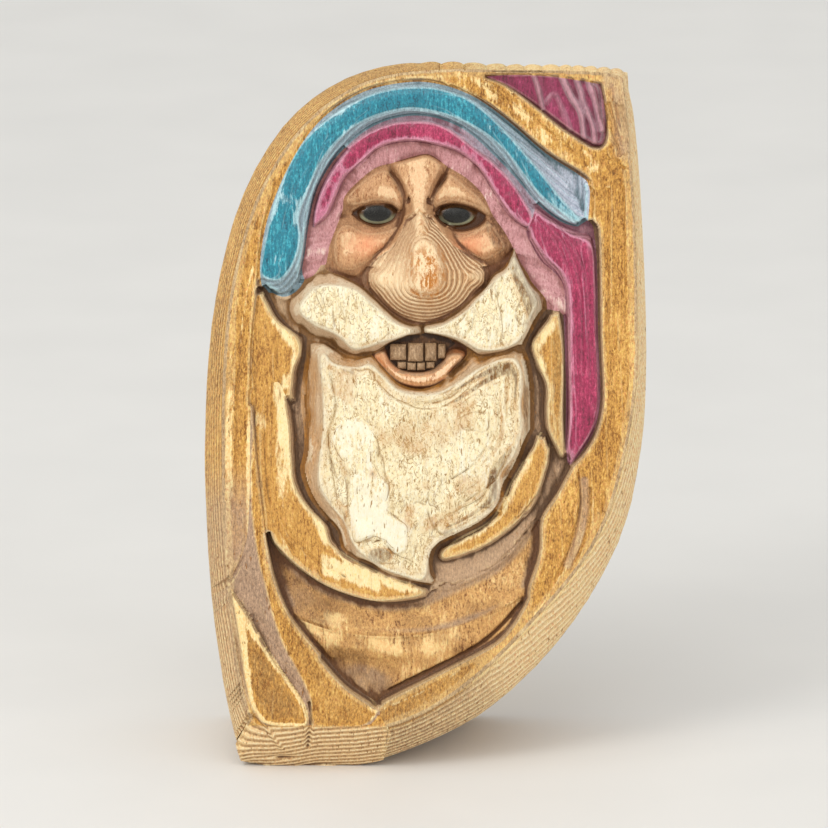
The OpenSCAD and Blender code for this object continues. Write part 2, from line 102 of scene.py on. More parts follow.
def distance(seg, u, v):
    best = np.full(u.shape, 1e9)
    for a, b, c, d in seg:
        ex, ey = c - a, d - b
        t = np.clip(((u - a) * ex + (v - b) * ey) / max(ex * ex + ey * ey, 1e-12), 0, 1)
        np.minimum(best, (u - a - t * ex) ** 2 + (v - b - t * ey) ** 2, out=best)
    return np.sqrt(best)


def inside(seg, u, v):
    odd = np.zeros(u.shape, bool)
    for a, b, c, d in seg:
        if b != d:
            hit = (b > v) != (d > v)
            odd ^= hit & (u < a + (v - b) * (c - a) / (d - b))
    return odd


def signed(seg, u, v):
    """Distance to the outline, above 0 inside."""
    return np.where(inside(seg, u, v), 1, -1) * distance(seg, u, v)


def noise(x, y, seed):
    """Smooth value noise, -1 to 1, one lump per unit."""
    table = np.random.RandomState(seed).uniform(-1, 1, (64, 64))
    i, j = np.floor(x).astype(int), np.floor(y).astype(int)
    fx, fy = x - i, y - j
    fx, fy = fx * fx * (3 - 2 * fx), fy * fy * (3 - 2 * fy)
    at = lambda a, b: table[a % 64, b % 64]
    return ((at(i, j) * (1 - fx) + at(i + 1, j) * fx) * (1 - fy)
            + (at(i, j + 1) * (1 - fx) + at(i + 1, j + 1) * fx) * fy)


def step(x, lo, hi):
    """0 at lo and 1 at hi, smooth between, level beyond."""
    t = np.clip((x - lo) / (hi - lo), 0, 1)
    return t * t * (3 - 2 * t)


def band(x, reach, full):
    """1 where x is within full of 0, falling to 0 at the distance reach."""
    return step(-np.abs(x), -reach, -full)


def swell(ring):
    """-1 to 1 across each growth ring, highest near its end, where the late wood stands proud."""
    return np.cos(2 * math.pi * (ring - 0.95))


def blur(a, r):
    """Three box blurs of half-width r cells."""
    for _ in range(3):
        for axis in (0, 1):
            a = np.moveaxis(a, axis, 0)
            pad = np.concatenate([np.repeat(a[:1], r + 1, 0), a, np.repeat(a[-1:], r, 0)])
            c = np.cumsum(pad, 0)
            a = (c[2 * r + 1:] - c[:-2 * r - 1]) / (2 * r + 1)
            a = np.moveaxis(a, 0, axis)
    return a


# ------------------------------------------------------------------ footprints of the CAD nodes

def cap_segments(node, level):
    """Outline of a CAD node's flat face at w = level, as segments (u, v, u, v)."""
    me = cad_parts[node].data
    co = np.array([x.co for x in me.vertices], float)
    f = np.round(to_face(co), 3)
    me.calc_loop_triangles()
    count = {}
    for t in me.loop_triangles:
        p = [tuple(f[i]) for i in t.vertices]
        if all(abs(q[2] - level) < 0.01 for q in p):
            for a, b in zip(p, p[1:] + p[:1]):
                key = (min(a[:2], b[:2]), max(a[:2], b[:2]))
                count[key] = count.get(key, 0) + 1
    return np.array([[*a, *b] for (a, b), n in count.items() if n == 1 and a != b])


def spread(mask, source):
    """Adds to mask the four neighbours of every cell of source."""
    mask[1:] |= source[:-1]
    mask[:-1] |= source[1:]
    mask[:, 1:] |= source[:, :-1]
    mask[:, :-1] |= source[:, 1:]


BORDER = {"border_left": 0.0, "border_corner": 0.0, "border_right": -0.5, "hood_edge": -0.3}
SMALL = ["upper_teeth", "lower_teeth"]
carved = [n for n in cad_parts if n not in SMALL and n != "back_block"]
outline = cap_segments("back_block", FLOOR)

us = np.arange(-58, 58 + GRID, GRID)
vs = np.arange(-3, 181 + GRID, GRID)
U, V = np.meshgrid(us, vs, indexing="ij")
field = {}
for n in carved:
    seg = cap_segments(n, BORDER.get(n, FLOOR))
    lo, hi = seg.reshape(-1, 2).min(0) - 5, seg.reshape(-1, 2).max(0) + 5
    i0, i1 = np.searchsorted(us, [lo[0], hi[0]])
    j0, j1 = np.searchsorted(vs, [lo[1], hi[1]])
    d = np.full(U.shape, -9.0)
    d[i0:i1, j0:j1] = signed(seg, U[i0:i1, j0:j1], V[i0:i1, j0:j1])
    field[n] = d
field["foot_ledge"] = np.where(np.max([field[n] for n in BORDER], 0) < 0, field["foot_ledge"] + 0.3,
                               field["foot_ledge"])
names = list(field)
stack = np.stack([field[n] for n in names] + [np.full(U.shape, -9.0)])
nearest = stack.max(0)
outside = np.zeros(U.shape, bool)
outside[0, :] = outside[-1, :] = outside[:, 0] = outside[:, -1] = True
open_air = nearest < -0.3
while True:
    grown = outside.copy()
    spread(grown, outside)
    grown &= open_air | outside
    if (grown == outside).all():
        break
    outside = grown
for _ in range(2):
    spread(outside, outside)
stack[-1] = np.where(outside, -nearest, -9)
AIR = len(names)
cells = (stack[:, :-1, :-1] + stack[:, 1:, :-1] + stack[:, :-1, 1:] + stack[:, 1:, 1:]) / 4
label = cells.argmax(0)
for _ in range(3):    # a cell with fewer than two neighbours of its own kind takes its neighbours' label
    near = np.stack([label[2:, 1:-1], label[:-2, 1:-1], label[1:-1, 2:], label[1:-1, :-2]])
    lone = (near == label[1:-1, 1:-1]).sum(0) < 2
    label[1:-1, 1:-1] = np.where(lone, np.where(near[0] == near[1], near[0], near[2]), label[1:-1, 1:-1])

# vertices between two labels move onto the line where the two distances are equal
corner = np.full((4,) + U.shape, AIR)
corner[0, 1:, 1:], corner[1, :-1, 1:], corner[2, 1:, :-1], corner[3, :-1, :-1] = label, label, label, label
first, last = corner.min(0), corner.max(0)
two = (first != last) & np.all((corner == first) | (corner == last), 0)
PU, PV = U.copy(), V.copy()
gu, gv = np.gradient(stack, GRID, axis=(1, 2))
ii, jj = np.nonzero(two)
a, b = first[ii, jj], last[ii, jj]
f = stack[a, ii, jj] - stack[b, ii, jj]
fu, fv = gu[a, ii, jj] - gu[b, ii, jj], gv[a, ii, jj] - gv[b, ii, jj]
k = f / np.maximum(fu * fu + fv * fv, 0.5)
reach = np.maximum(np.hypot(k * fu, k * fv) / (0.55 * GRID), 1)
PU[ii, jj] -= k * fu / reach
PV[ii, jj] -= k * fv / reach

# ------------------------------------------------------------------ the carving, region by region
# Painted fields and lines on the face. Each function below that is named after a piece takes a Spot, its
# u and its v, sets the Spot's masks and returns the height w of the piece's top.

LEAF_TOP = spline([(-49.2, 48.4), (-48.6, 45), (-47.7, 40), (-46.3, 31), (-44.9, 21.4), (-43.2, 15.4),
                   (-39.7, 11.8), (-34, 11.4), (-30.2, 11.6), (-30, 15), (-32.2, 19.7), (-36.9, 27),
                   (-41.4, 33.4), (-44.9, 39.4), (-47.6, 44)])
FOLD_TOP = spline([(-41.6, 96), (-43.6, 80), (-43.6, 66), (-42, 54), (-40, 46), (-38.3, 39),
                   (-35.5, 31.3), (-32, 25), (-28.9, 18), (-28.2, 11), (-21.4, 10.8), (-15.4, 11.6),
                   (-12.4, 15), (-14.6, 18.4), (-18.6, 22), (-26.7, 31), (-30.5, 35.4), (-33.7, 39.8),
                   (-35.8, 44), (-37.9, 50), (-39.6, 61), (-40.6, 78)])
TEAL = spline([(-37, 123.5), (-41, 125), (-40.6, 130), (-39.6, 135), (-37.2, 144), (-33, 154),
               (-28.5, 160), (-22.5, 164.8), (-15, 169), (-8, 171), (0, 171.4), (5, 170.5), (10, 168.6),
               (15, 165), (20, 160), (25, 154.3), (29, 149.5), (33.6, 143.6), (38.4, 138),
               (33.4, 140.8), (28.5, 144.8), (25, 149), (20.5, 155), (15, 160), (8, 163.8), (0, 166),
               (-6, 166.2), (-14, 164), (-20.4, 160), (-26, 153.5), (-30, 145), (-32, 139),
               (-31.6, 133), (-33.6, 127)])
CUFF = spline([(-27.3, 136.6), (-27.6, 139.5), (-25.5, 147), (-21.5, 153.6), (-16, 158.8), (-9, 162),
               (-1, 162.6), (5, 161), (12, 155.8), (17.5, 151.4), (22, 146.4), (26, 139.4),
               (24.8, 137.1), (21.5, 140.4), (17.5, 145.6), (14, 151.0), (9, 155), (2, 157.6),
               (-5, 158.6), (-12, 156.6), (-18, 151.8), (-21.5, 147), (-24.4, 140)])
TAIL = spline([(27, 140.2), (30.5, 138), (36, 134.6), (41, 132.2), (42, 124), (42.4, 110), (43, 98),
               (42.5, 88.6), (38, 80.2), (35.6, 78.4), (36.4, 90), (36.2, 104), (36, 118), (34.4, 125),
               (30, 129.4), (26.6, 134.6), (25.4, 138.4)])
PANEL = spline([(15, 174.6), (22, 174.8), (32, 174), (40, 173.2), (43.2, 171.6), (44.2, 165),
                (44.4, 159.2), (42.6, 157.4), (37, 160.6), (28, 167.2), (21, 171.8)])
BEARD_TOP = spline([(-26, 104.6), (-23, 102.4), (-17.5, 101.4), (-14, 102), (-11, 99.5), (-7, 95.8),
                    (-1, 94.6), (4, 95.4), (8.6, 98), (13, 100.8), (18, 103.2), (22, 103.4),
                    (23.6, 100), (23.4, 95), (23.4, 90), (23.6, 85), (21.8, 79.4), (18.4, 74.6),
                    (18.2, 68.4), (15, 64.6), (10, 61.4), (4, 58.4), (1, 55.4), (0, 50.6), (-1.4, 48.4),
                    (-6, 49.4), (-11, 51.4), (-15.6, 54.6), (-18.4, 58), (-20.6, 63), (-24, 67.6),
                    (-26.4, 72), (-26.6, 78), (-25.6, 86), (-25.8, 95)])
BEARD_PALE = spline([(-23.6, 84), (-20, 88.4), (-14.6, 87.2), (-12, 83), (-12.6, 77), (-9.6, 72),
                     (-9.4, 65), (-4.8, 61.8), (-5, 57), (-7.4, 55.4), (-13, 59.4), (-18, 58),
                     (-19.6, 65), (-19, 74), (-21.4, 79)])
MOU_L = spline([(-31.4, 116), (-29.5, 119.6), (-26, 121.9), (-18.5, 121.3), (-13, 117), (-8, 112.8),
                (-3.6, 110.9), (-6, 109.4), (-11, 108.2), (-15, 106.8), (-18.4, 106.6), (-22.2, 110),
                (-28, 112.6)])
MOU_R = spline([(-1, 110.8), (4, 112), (9, 114.8), (13, 118.6), (16.4, 122.6), (20, 125.4), (21.8, 129),
                (23.4, 126.4), (25.6, 121.6), (27.4, 118), (26, 114.4), (24.4, 110.4), (22, 107.6),
                (18, 106.2), (13.4, 106.2), (9, 108.6), (4, 110)])
LIP = spline([(-12.6, 104.4), (-10.4, 101.4), (-7.4, 98.4), (-3.4, 97), (1, 97.1), (4.4, 98.6),
              (7.2, 101), (8.8, 104), (6.6, 104.4), (3.6, 102), (0, 100.0), (-4.6, 100.0), (-8, 101.6),
              (-10.6, 105)])
HAIR_L = spline([(-42, 120), (-37.6, 113), (-33.4, 110), (-31.6, 106), (-33.4, 101), (-34, 96),
                 (-35, 91), (-41.4, 89), (-46, 91), (-46, 106), (-44, 116)])
OUTER_L = spline([(-46, 101), (-38, 101), (-35.4, 97), (-35.2, 91.6), (-34.4, 86), (-34, 79),
                  (-33.2, 72), (-30, 66.4), (-26, 62.4), (-24, 57), (-20, 54), (-14.6, 51), (-9, 48.6),
                  (-3, 46.6), (-1, 44.6), (-7, 43.2), (-14, 43), (-21, 44.8), (-28, 48.2), (-34.6, 53),
                  (-39, 58.4), (-44, 68), (-46, 80)])
HAIR_R = spline([(32.8, 115), (30.6, 112.4), (28, 109), (27, 106.4), (28.6, 101.6), (30.6, 96.8),
                 (30.6, 90.4), (31, 86), (33, 81.6), (34.4, 80), (34, 90), (34.2, 100), (34, 109)])
OUTER_R = spline([(31.6, 85), (30.4, 79.6), (29.8, 76.4), (27.3, 68.6), (23.2, 63.3), (17.5, 58.6),
                  (12.3, 55.8), (5, 53.6), (4.6, 55.2), (9, 58.6), (16, 62.4), (18.8, 67), (21.4, 72),
                  (24.4, 77.3), (27, 80.6), (29, 85)])
BROW_L = spline([(-10, 150.4), (-13.4, 149.4), (-17, 146.6), (-19.6, 143.4), (-17.6, 142.4),
                 (-13, 143.4), (-8.6, 143), (-6.4, 141.8), (-6, 144), (-7.6, 147.4)])
BROW_R = spline([(5.6, 149.4), (9.6, 146.6), (13, 143.8), (15.4, 140.6), (12.6, 142), (8.4, 143.2),
                 (4.4, 143.2), (2, 141.8), (2.6, 145)])
CHEEK_L = spline([(-22.6, 129), (-22.4, 134), (-20, 136.8), (-15, 134.8), (-10, 135.2), (-7, 136.2),
                  (-9, 132.4), (-12.6, 129.6), (-15.6, 127.4), (-18.6, 126), (-21.4, 126.6)])
CHEEK_R = spline([(3.6, 136.4), (6, 134.6), (10, 134.2), (14, 136), (16, 137), (18.4, 133.8),
                  (19.4, 131.2), (16.6, 129.4), (14, 128.8), (10, 130.6), (6.4, 133.2)])
FOLD_EDGE = [(-33, 39.4), (-26.3, 35.6), (-19.3, 34.4), (-10.9, 33.5), (-1.5, 33), (8, 34.4),
             (17, 38.4), (24, 44)]

block_edge = signed(outline, PU, PV)
bow = lambda u, v: (u + 4) ** 2 / 420 + 0.012 * (v - 90)


def phase(u, v, w, rough=1.0):
    """Growth ring number at a point of the wood: rings lie across the depth, bowed from side to side."""
    knot = 1.3 * np.exp(-((u + 13.3) ** 2 + (v - 75) ** 2 / 4) / 9)
    wander = 0.34 * noise(u / 15, v / 55, 1)
    wander += rough * (0.09 * noise(u / 4 + 9, v / 16, 2) + 0.04 * noise(u / 1.6, v / 7, 3))
    return (w + bow(u, v)) / RING + wander + knot


def scallop(u, v):
    """Shallow gouge cuts, 0 to 1 deep, side by side across the top edge, closer towards the corner."""
    turn = np.interp(u + 0.3 * (v - 172), [-10, 0, 20, 35, 52], [-1.6, 0, 3.6, 7.0, 12.4])
    return (1 - np.abs(np.sin(math.pi * turn)) ** 0.6) * step(u, -8, 4) * step(v, 164, 169)


class Spot:
    """The vertices of one piece, the masks its material reads, and two numbers for the rings.

    edge and rim are the distances to the edge of the piece and to the rim of the block, in mm. Masks: paint
    (distance to the edge of the painted field, in mm), shade (dark stain, and in some pieces painted shade in
    gaps, creases, under the nose and on sides turned from the light), tint (second colour), light (bare pale
    wood, and on the nose's left flank painted light) and bare (the ringed outer bevel). steps is the height
    of the growth rings' terraces, and calm takes the rings' lines away.
    """

    def __init__(self, name, i, j):
        self.name, self.u, self.v = name, PU[i, j], PV[i, j]
        d = field[name]
        g = [x[i, j] for x in np.gradient(d, GRID)]
        self.edge = d[i, j] + g[0] * (self.u - U[i, j]) + g[1] * (self.v - V[i, j])
        self.rim = block_edge[i, j]
        zero = np.zeros(self.u.shape)
        self.paint, self.shade, self.tint, self.light, self.bare = zero + 3, zero, zero, zero - 0.2, zero
        self.steps, self.calm = 0.35, 0.0

    def darken(self, shade):
        self.shade = np.maximum(self.shade, shade)

    def to(self, poly):
        return signed(chain(poly), self.u, self.v)

    def line(self, pts):
        return distance(chain(spline(pts, False), False), self.u, self.v)

    def groove(self, pts, half, deep):
        t = np.clip(1 - self.line(pts) / half, 0, 1)
        return -deep * t * t * (3 - 2 * t)

    def bump(self, u, v, ru, rv, h, turn=0):
        c, s = math.cos(math.radians(turn)), math.sin(math.radians(turn))
        x, y = (self.u - u) * c + (self.v - v) * s, (self.v - v) * c - (self.u - u) * s
        return h * np.exp(-(x / ru) ** 2 - (y / rv) ** 2)

    def plateau(self, poly, top, slope, low, crown=0.4):
        """Raised field with a crisp edge at poly, from which a slope falls to the level low."""
        p = self.to(poly)
        self.paint = p
        t = np.clip(p / 2.0, 0, 1)
        soft = np.minimum(p, 0) + 0.25 * np.exp(-np.abs(p) / 0.5) - 0.25
        return np.maximum(top + crown * (1 - (1 - t) ** 2) + slope * soft, low + 0.05 * np.minimum(p + 3, 0))


def border_left(s, u, v):
    s.tint = step(80 - v, 0, 16) * step(-43.9 - u, 0, 1.6) * 0.9
    h = 0.15 * noise(u / 2.2, v / 30, 41)
    for k in range(3):
        x = -45 - 1.7 * k
        h = h + s.groove([(x, 50 + k * 8), (x - 0.7, 80), (x - 0.2, 110 - k * 9)], 0.5, 0.25)
    s.light = 0.8 * band(u + 44.4, 1.4, 0) * step(v, 52, 62) * step(-v, -98, -84)
    s.light = np.maximum(s.light, 0.15 + 0.55 * noise(s.rim / 1.1 + 3, v / 40, 73))
    s.shade = 0.25 * step(v, 150, 172)
    return h


def border_right(s, u, v):
    h = -0.15 + 0.15 * noise(u / 2.2, v / 30, 42)
    sweep = [[(38.2, 75), (38.7, 68), (37.6, 61.2), (35.3, 54.3), (32.6, 48)],
             [(41, 71), (40.8, 64), (39.3, 57.1), (36.2, 50.4)],
             [(44.5, 69.2), (43.9, 63), (41.6, 56), (38, 50.4)], [(28, 61), (27.9, 55), (26.6, 48.6)]]
    for k, line in enumerate(sweep):
        h = h + s.groove(line, 0.8, (0.7, 0.7, 0.5, 0.5)[k])
    between = s.line([(39.6, 73), (39.7, 66), (38.4, 59), (35.6, 52)])
    s.light = 0.1 + 0.5 * noise(s.rim / 1.2 + 7, v / 40, 74)
    s.shade = 0.4 * step(-u, -22, -8) * step(-v, -34, -28)
    s.tint = 0.8 * step(-between, -1.5, -0.7) + 0.6 * step(-s.line(sweep[3]), -1.2, -0.4)
    for k in range(3):
        x = 45.2 + 1.9 * k
        h = h + s.groove([(x, 170 - 8 * k), (x + 0.4, 130), (x + 0.2, 96 + 10 * k)], 0.5, 0.25)
    return h


def border_corner(s, u, v):
    h = -0.1 + 0.1 * noise(u / 2, v / 9, 43)
    for k in range(4):
        h = (h + s.groove([(44.0 + k * 1.6, 168 - k * 0.5), (46.4 + k * 1.4, 161 - k),
                           (48.4 + k * 1.3, 155)], 0.9, 1.0))
    s.tint = 0.9 * step(u, 43, 44.6) * step(v, 152, 156) * step(-s.rim, -7, -4)
    s.light = 0.5 * band(s.line([(45.4, 160), (49, 152)]), 2.4, 0)
    s.shade = 0.25 * step(-u, -30, -20)
    return h - 0.7 * scallop(u, v) * step(-s.rim, -5, -1)


def hood_edge(s, u, v):
    s.light = 0.35 + 0.3 * noise(u / 3 + v / 3, u / 5 - v / 5, 56)
    rims = [[(9, 176), (16, 173), (26, 167.6), (36, 160.6), (42.6, 157)],
            [(43, 156.4), (47.6, 152.4), (53, 150.4)], [(14, 172), (24, 165.6), (34, 158), (40, 152)]]
    return -0.15 + sum(s.groove(line, 0.55, 0.4) for line in rims)


def foot_ledge(s, u, v):
    low, side = v + 0.5 * noise(u / 9, v * 0, 12), 1.1 * np.maximum(u + 50.5 + 0.2 * v, 0.2)
    run = low * side / (low ** 3 + side ** 3 + 0.01) ** (1 / 3)
    notch = [[(-29.2, 12), (-29.4, 9.4), (-29.8, 6)], [(-42.6, 15), (-39.4, 9.6), (-36.4, 5)]]
    s.bare = step(11.4 - v, 0, 0.8)
    s.steps = 0.75
    h = FLOOR + 10 * np.clip(run / 11, 0.02, 1) ** 0.85
    return (h + s.groove(notch[0], 1.1, 0.7) - s.groove(notch[1], 0.8, 0.5)
            + s.bump(-36.5, 2.6, 3.4, 0.6, -0.8))


def corner_leaf(s, u, v):
    h = s.plateau(LEAF_TOP, -0.1, 1.0, -1.6, 0.3)
    s.light = 1.15 - s.paint / (0.9 + 0.075 * np.maximum(v - 10, 0))
    s.shade = 0.45 * step(s.paint, 1.0, 3.0)
    s.tint = step(-s.paint, 0.2, 0.8)
    return h


def left_fold(s, u, v):
    p = s.to(FOLD_TOP)
    right = s.line([(-38.9, 61), (-37.3, 50), (-35.2, 43.5), (-33, 39), (-30, 34.6), (-26.2, 30.2),
                    (-18, 21.6), (-12.4, 15.4)])
    s.paint = p
    s.tint = step(-p, -0.2, 0.5)
    s.light = np.maximum(0.95 - right / (1.1 + 0.05 * np.maximum(40 - v, 0)), 0.5 * step(-p, -1.4, 0))
    crease = s.groove([(-29.3, 17), (-29, 13), (-28.9, 10)], 1.0, 1.2)
    s.shade = 0.22 * step(-v, -46, -20) * step(p, 0.5, 3)
    dip = np.maximum(0.36 * np.minimum(p, 0), -1.7) * step(s.rim, 2.0, 4.4) * step(-v, -62, -42)
    return -0.1 + dip + crease + 0.12 * noise(u / 2, v / 14, 44)


def robe_fold_upper(s, u, v):
    low, high = s.line(FOLD_EDGE), np.maximum(s.edge, 0)
    patches = noise(u / 4.4 + 3, v / 3.4, 61)
    left = step(u, -31, -27) * step(-u, -2, 8)
    s.light = (0.56 - np.abs(low - 3.2) / 7 + 0.5 * patches) * left + (0.3 + 0.25 * patches) * step(u, -8, 0)
    s.light = s.light - s.bump(-9, 38, 6, 3, 0.6) + s.bump(-24.5, 38, 5, 2.6, 0.5)
    s.shade = s.bump(-29, 42.6, 7, 5, 0.5) + 0.3 * step(-patches, 0.1, 0.7)
    s.tint = step(-high, -2.2, -0.7) * step(low, 1.2, 2.4) + s.bump(-33, 43, 5, 4, 0.5)
    lean = u + 0.5 * v
    s.steps, s.calm = 0.15, 0.6
    return (-2.9 - 0.28 * np.clip(low, 0, 8) + 0.22 * noise(u / 4, v / 2.4, 14)
            + 0.2 * noise(lean / 1.3, v / 5, 58))


def robe_fold_lower(s, u, v):
    top = s.line(FOLD_EDGE)
    patches = noise(u / 4 + 7, v / 3, 62)
    upper = step(-top, -7, -3)
    cup = np.exp(-((u + 20 - 0.7 * (28 - v)) / 7) ** 2 - ((v - 27) / 5) ** 2)
    below = 0.5 * step(u, -14, -4) * step(-v, -34, -28) + 0.35 * patches
    s.light = np.maximum(0.8 * upper + 0.4 * patches, below)
    s.light = s.light * step(-u, -12, -2) + (0.15 + 0.3 * patches) * step(u, 2, 12) - 0.9 * cup
    s.light = s.light - s.bump(-4, 29, 6, 3, 0.35)
    s.tint = 0.9 * step(np.exp(-((u + 16 - 0.6 * (24 - v)) / 7) ** 2 - ((v - 22.4) / 4.4) ** 2), 0.3, 0.7)
    s.shade = np.maximum(0.65 * step(cup, 0.25, 0.8), 0.3 * step(-patches, 0.1, 0.7))
    rim = s.groove([(-9, 19.6), (0, 24.4), (10, 29.4), (17, 34.4), (24, 42)], 0.8, 1.1)
    s.steps, s.calm = 0.15, 0.6
    lean = u + 0.5 * v
    return (-3.6 - 1.9 * step(top, 3, 8) * step(-u, -3, 10) + rim + 0.22 * noise(u / 4, v / 2.2, 15)
            + 0.2 * noise(lean / 1.3, v / 5, 59))


def whisker(poly, top, low, inner=(), grooves=(), tint=0.0):
    """Lock of hair: a raised field, pale along the line inner, golden elsewhere."""
    def height(s, u, v):
        h = s.plateau(poly, top, 1.9, low, 0.4)
        s.light = 0.85 - s.line(inner) / 2.2 + 0.35 * noise(u / 2, v / 9, 72)
        if s.name == "outer_beard_left":
            patch = 1.1 * np.exp(-((u + 18) / 8) ** 4 - ((v - 49.5 + 0.3 * (u + 18)) / 2.8) ** 4)
            patch = np.maximum(patch, 0.75 * band(u + 36, 3.2, 0.6) * step(v, 62, 72))
            s.light = np.maximum(s.light, patch + 0.5 * noise(u / 1.5, v / 8, 76))
        s.tint = step(-s.paint, 0.1, 0.7) + tint
        # shade here is painted shade in the gap along the lock's edge, where it meets the next piece
        s.shade = 0.75 * step(-s.edge, -2.0, -0.7) * step(-s.paint, 0.3, 1.0) * step(v, 62, 68)
        # painted shade along the right side of the right lock, the side turned from the light
        if s.name == "right_hair":
            s.darken(0.5 * step(u + noise(u, v / 6, 69), 30.6, 33.4))
        for line in grooves:
            h = h + s.groove(line, 0.55, 0.32)
        return h + 0.22 * noise(u / 1.6, v / 8, 45)
    return height


def beard(s, u, v):
    h = s.plateau(BEARD_TOP, 0.5, 1.05, -4.4, 0.5) + 0.6 * noise(u / 1.7, v / 9, 51) * step(-s.paint, 0, 1.5)
    h = h + s.bump(-3, 84, 17, 26, 1.5) * step(s.paint, -2, 5)
    pale = s.to(BEARD_PALE)
    s.light = 0.5 * step(pale, -1.2, 1.6) + 0.15 + 0.2 * noise(u / 7, v / 9, 57)
    s.light = s.light + 0.3 * band(u - 12, 8, 3) * band(v - 82, 13, 6)
    h = h + 0.5 * step(pale, -0.7, 0.5)
    for k in range(4):
        x = k * 1.9
        h = (h + s.groove([(21.8 - x, 101 - x), (22 - x, 92 - x), (22 - x, 84),
                           (17.6 - x, 74 + x * 0.6), (10 - x * 0.6, 68 + x)], 0.45, 0.3))
    creases = [([(-24, 100), (-22.6, 92), (-24.4, 84), (-23, 75), (-20.6, 67)], 0.7, 0.5),
               ([(2, 60), (3.4, 63), (9, 65.6), (14, 69), (16.4, 74)], 0.7, 0.5),
               ([(-16, 56.4), (-11, 58.2), (-8, 54.6), (-3.6, 52)], 0.7, 0.5),
               ([(-12, 99), (-8, 94.6), (-2, 92.4), (5, 93.6), (10, 97)], 1.2, 0.6),
               ([(6, 58), (1.6, 62), (0.4, 68), (2, 74)], 0.5, 0.35)]
    for line, half, deep in creases:
        h = h + s.groove(line, half, deep)
    disc = np.hypot((u + 11.6) / 3.6, (v - 54.4) / 2.4)
    s.shade = np.maximum(0.85 * step(-disc, -1.1, -0.7),
                         0.6 * band(v - 63 - 0.3 * (u - 3), 2.6, 0.8) * band(u - 3.4, 6, 3))
    s.darken(s.bump(-13.3, 75, 0.8, 1.1, 0.9))
    blotches = noise(u / 5, v / 6, 63) + 0.5 * noise(u / 2, v / 3, 65) + 0.3 * step(u, 2, 14)
    stains = step(blotches, 0.05, 0.8) * (1 - step(pale, -1, 1))
    in_paint = step(-s.paint, -9, -4) * step(s.paint, 0, 1) * step(u, 2, 9)
    streaks = np.abs(noise(s.paint / 1.1 + 9, v / 12, 67)) * in_paint
    s.darken(0.5 * stains + 0.3 * band(s.paint - 1, 2, 0) + 0.7 * step(streaks, 0.25, 0.6))
    s.tint = 0.75 * step(-s.paint, 0.2, 1.6)
    wave = s.paint / 1.35 + 0.35 * noise(u / 5, v / 6, 70)
    contour = band(wave % 1 - 0.5, 0.2, 0.04) * step(s.paint, 0.7, 1.4) * step(-s.paint, -8, -4.5)
    contour *= step(u + 0.5 * (v - 90), -6, 4) * step(noise(u / 2, v / 4, 71), -0.5, 0.1)
    s.darken(0.8 * contour)
    # painted shade in the gaps between the beard and the locks beside it
    gap_shade = step(-s.edge, -2.6, -1.0) * step(-s.paint, 0.3, 1.2) * step(v, 62, 72) * step(-v, -106, -102)
    s.darken((0.6 + 0.35 * step(u, 0, 10)) * gap_shade)
    s.calm = 0.45 * step(-s.paint, 0, 0.6) + 0.35 * step(pale, 0, 1)
    s.steps = 0.5
    return h + 0.45 * noise(u / 5, v / 8, 16) + 0.2 * noise(u / 2.4, v / 4, 46)


def moustache(poly, grooves):
    def height(s, u, v):
        h = s.plateau(poly, 0.9, 1.5, -4.0, 0.5) + 0.4 * noise(u / 1.8, v / 5, 50) * step(-s.paint, 0, 1.5)
        s.calm = 0.5 * step(-s.paint, 0, 0.6)
        s.light = 0.4 * step(s.paint, 0.3, 1.6) + 0.3 * noise(u / 4, v / 6, 64)
        s.shade = 0.45 * band(s.paint - 0.5, 0.9, 0.2) * step(-v, -113, -108)
        s.tint = 0.8 * step(-s.paint, 0.2, 0.9)
        for line in grooves:
            h = h + s.groove(line, 0.6, 0.4)
        # painted shade on the right end of the right moustache, the side turned from the light
        if s.name == "moustache_right":
            s.darken(step(u + 0.4 * (v - 112), 25.2, 27.2))
        return h + 0.3 * noise(u / 3, v / 5, 17)
    return height


def nose_height(s, floor=-4.2):
    """The nose and the forehead: a blunt cone, with a narrow ridge that runs up from it to the forehead."""
    along = np.clip(s.v, 123.4, 130.6)
    pinch = np.interp(s.v, [125, 128, 131, 135, 138], [0.84, 0.9, 1.05, 1.35, 1.6])
    centre = np.interp(s.v, [126, 134], [0.3, -0.8])
    r = np.hypot(pinch * (s.u - centre), s.v - along) + 0.5 * noise(s.u / 6, s.v / 7, 47)
    cone = np.interp(s.v, [120, 126, 131], [6.4, 6.7, 5.7]) - 0.02 * r ** 2 - 0.8 * np.maximum(r - 2.6, 0)
    axis = np.interp(s.v, [126, 134, 143, 152], [0.2, -0.9, -1.8, -2.0])
    half = np.interp(s.v, [126, 134, 139, 143, 147, 151, 156], [2.2, 1.6, 1.3, 1.7, 3.0, 5.0, 5.4])
    side = np.interp(s.v, [128, 133, 138, 143, 147, 152], [0.8, 1.0, 1.7, 1.9, 1.5, 1.0])
    crest = np.interp(s.v, [126, 130, 136, 143, 148, 156], [6.6, 5.9, 3.6, 0.9, -0.4, -1.2])
    ridge = (crest - side * np.maximum(np.abs(s.u - axis) - half, 0)
             - 0.7 * np.minimum(((s.u - axis) / half) ** 2, 1))
    wings = s.bump(13.2, 124.2, 2.8, 2.8, 2.4) + s.bump(-12.4, 123.6, 3.0, 2.8, 2.0)
    both = np.where(s.v > 126.6, np.maximum(cone, ridge), cone)
    return np.maximum(both, floor) + np.where(both > floor, wings, 0)


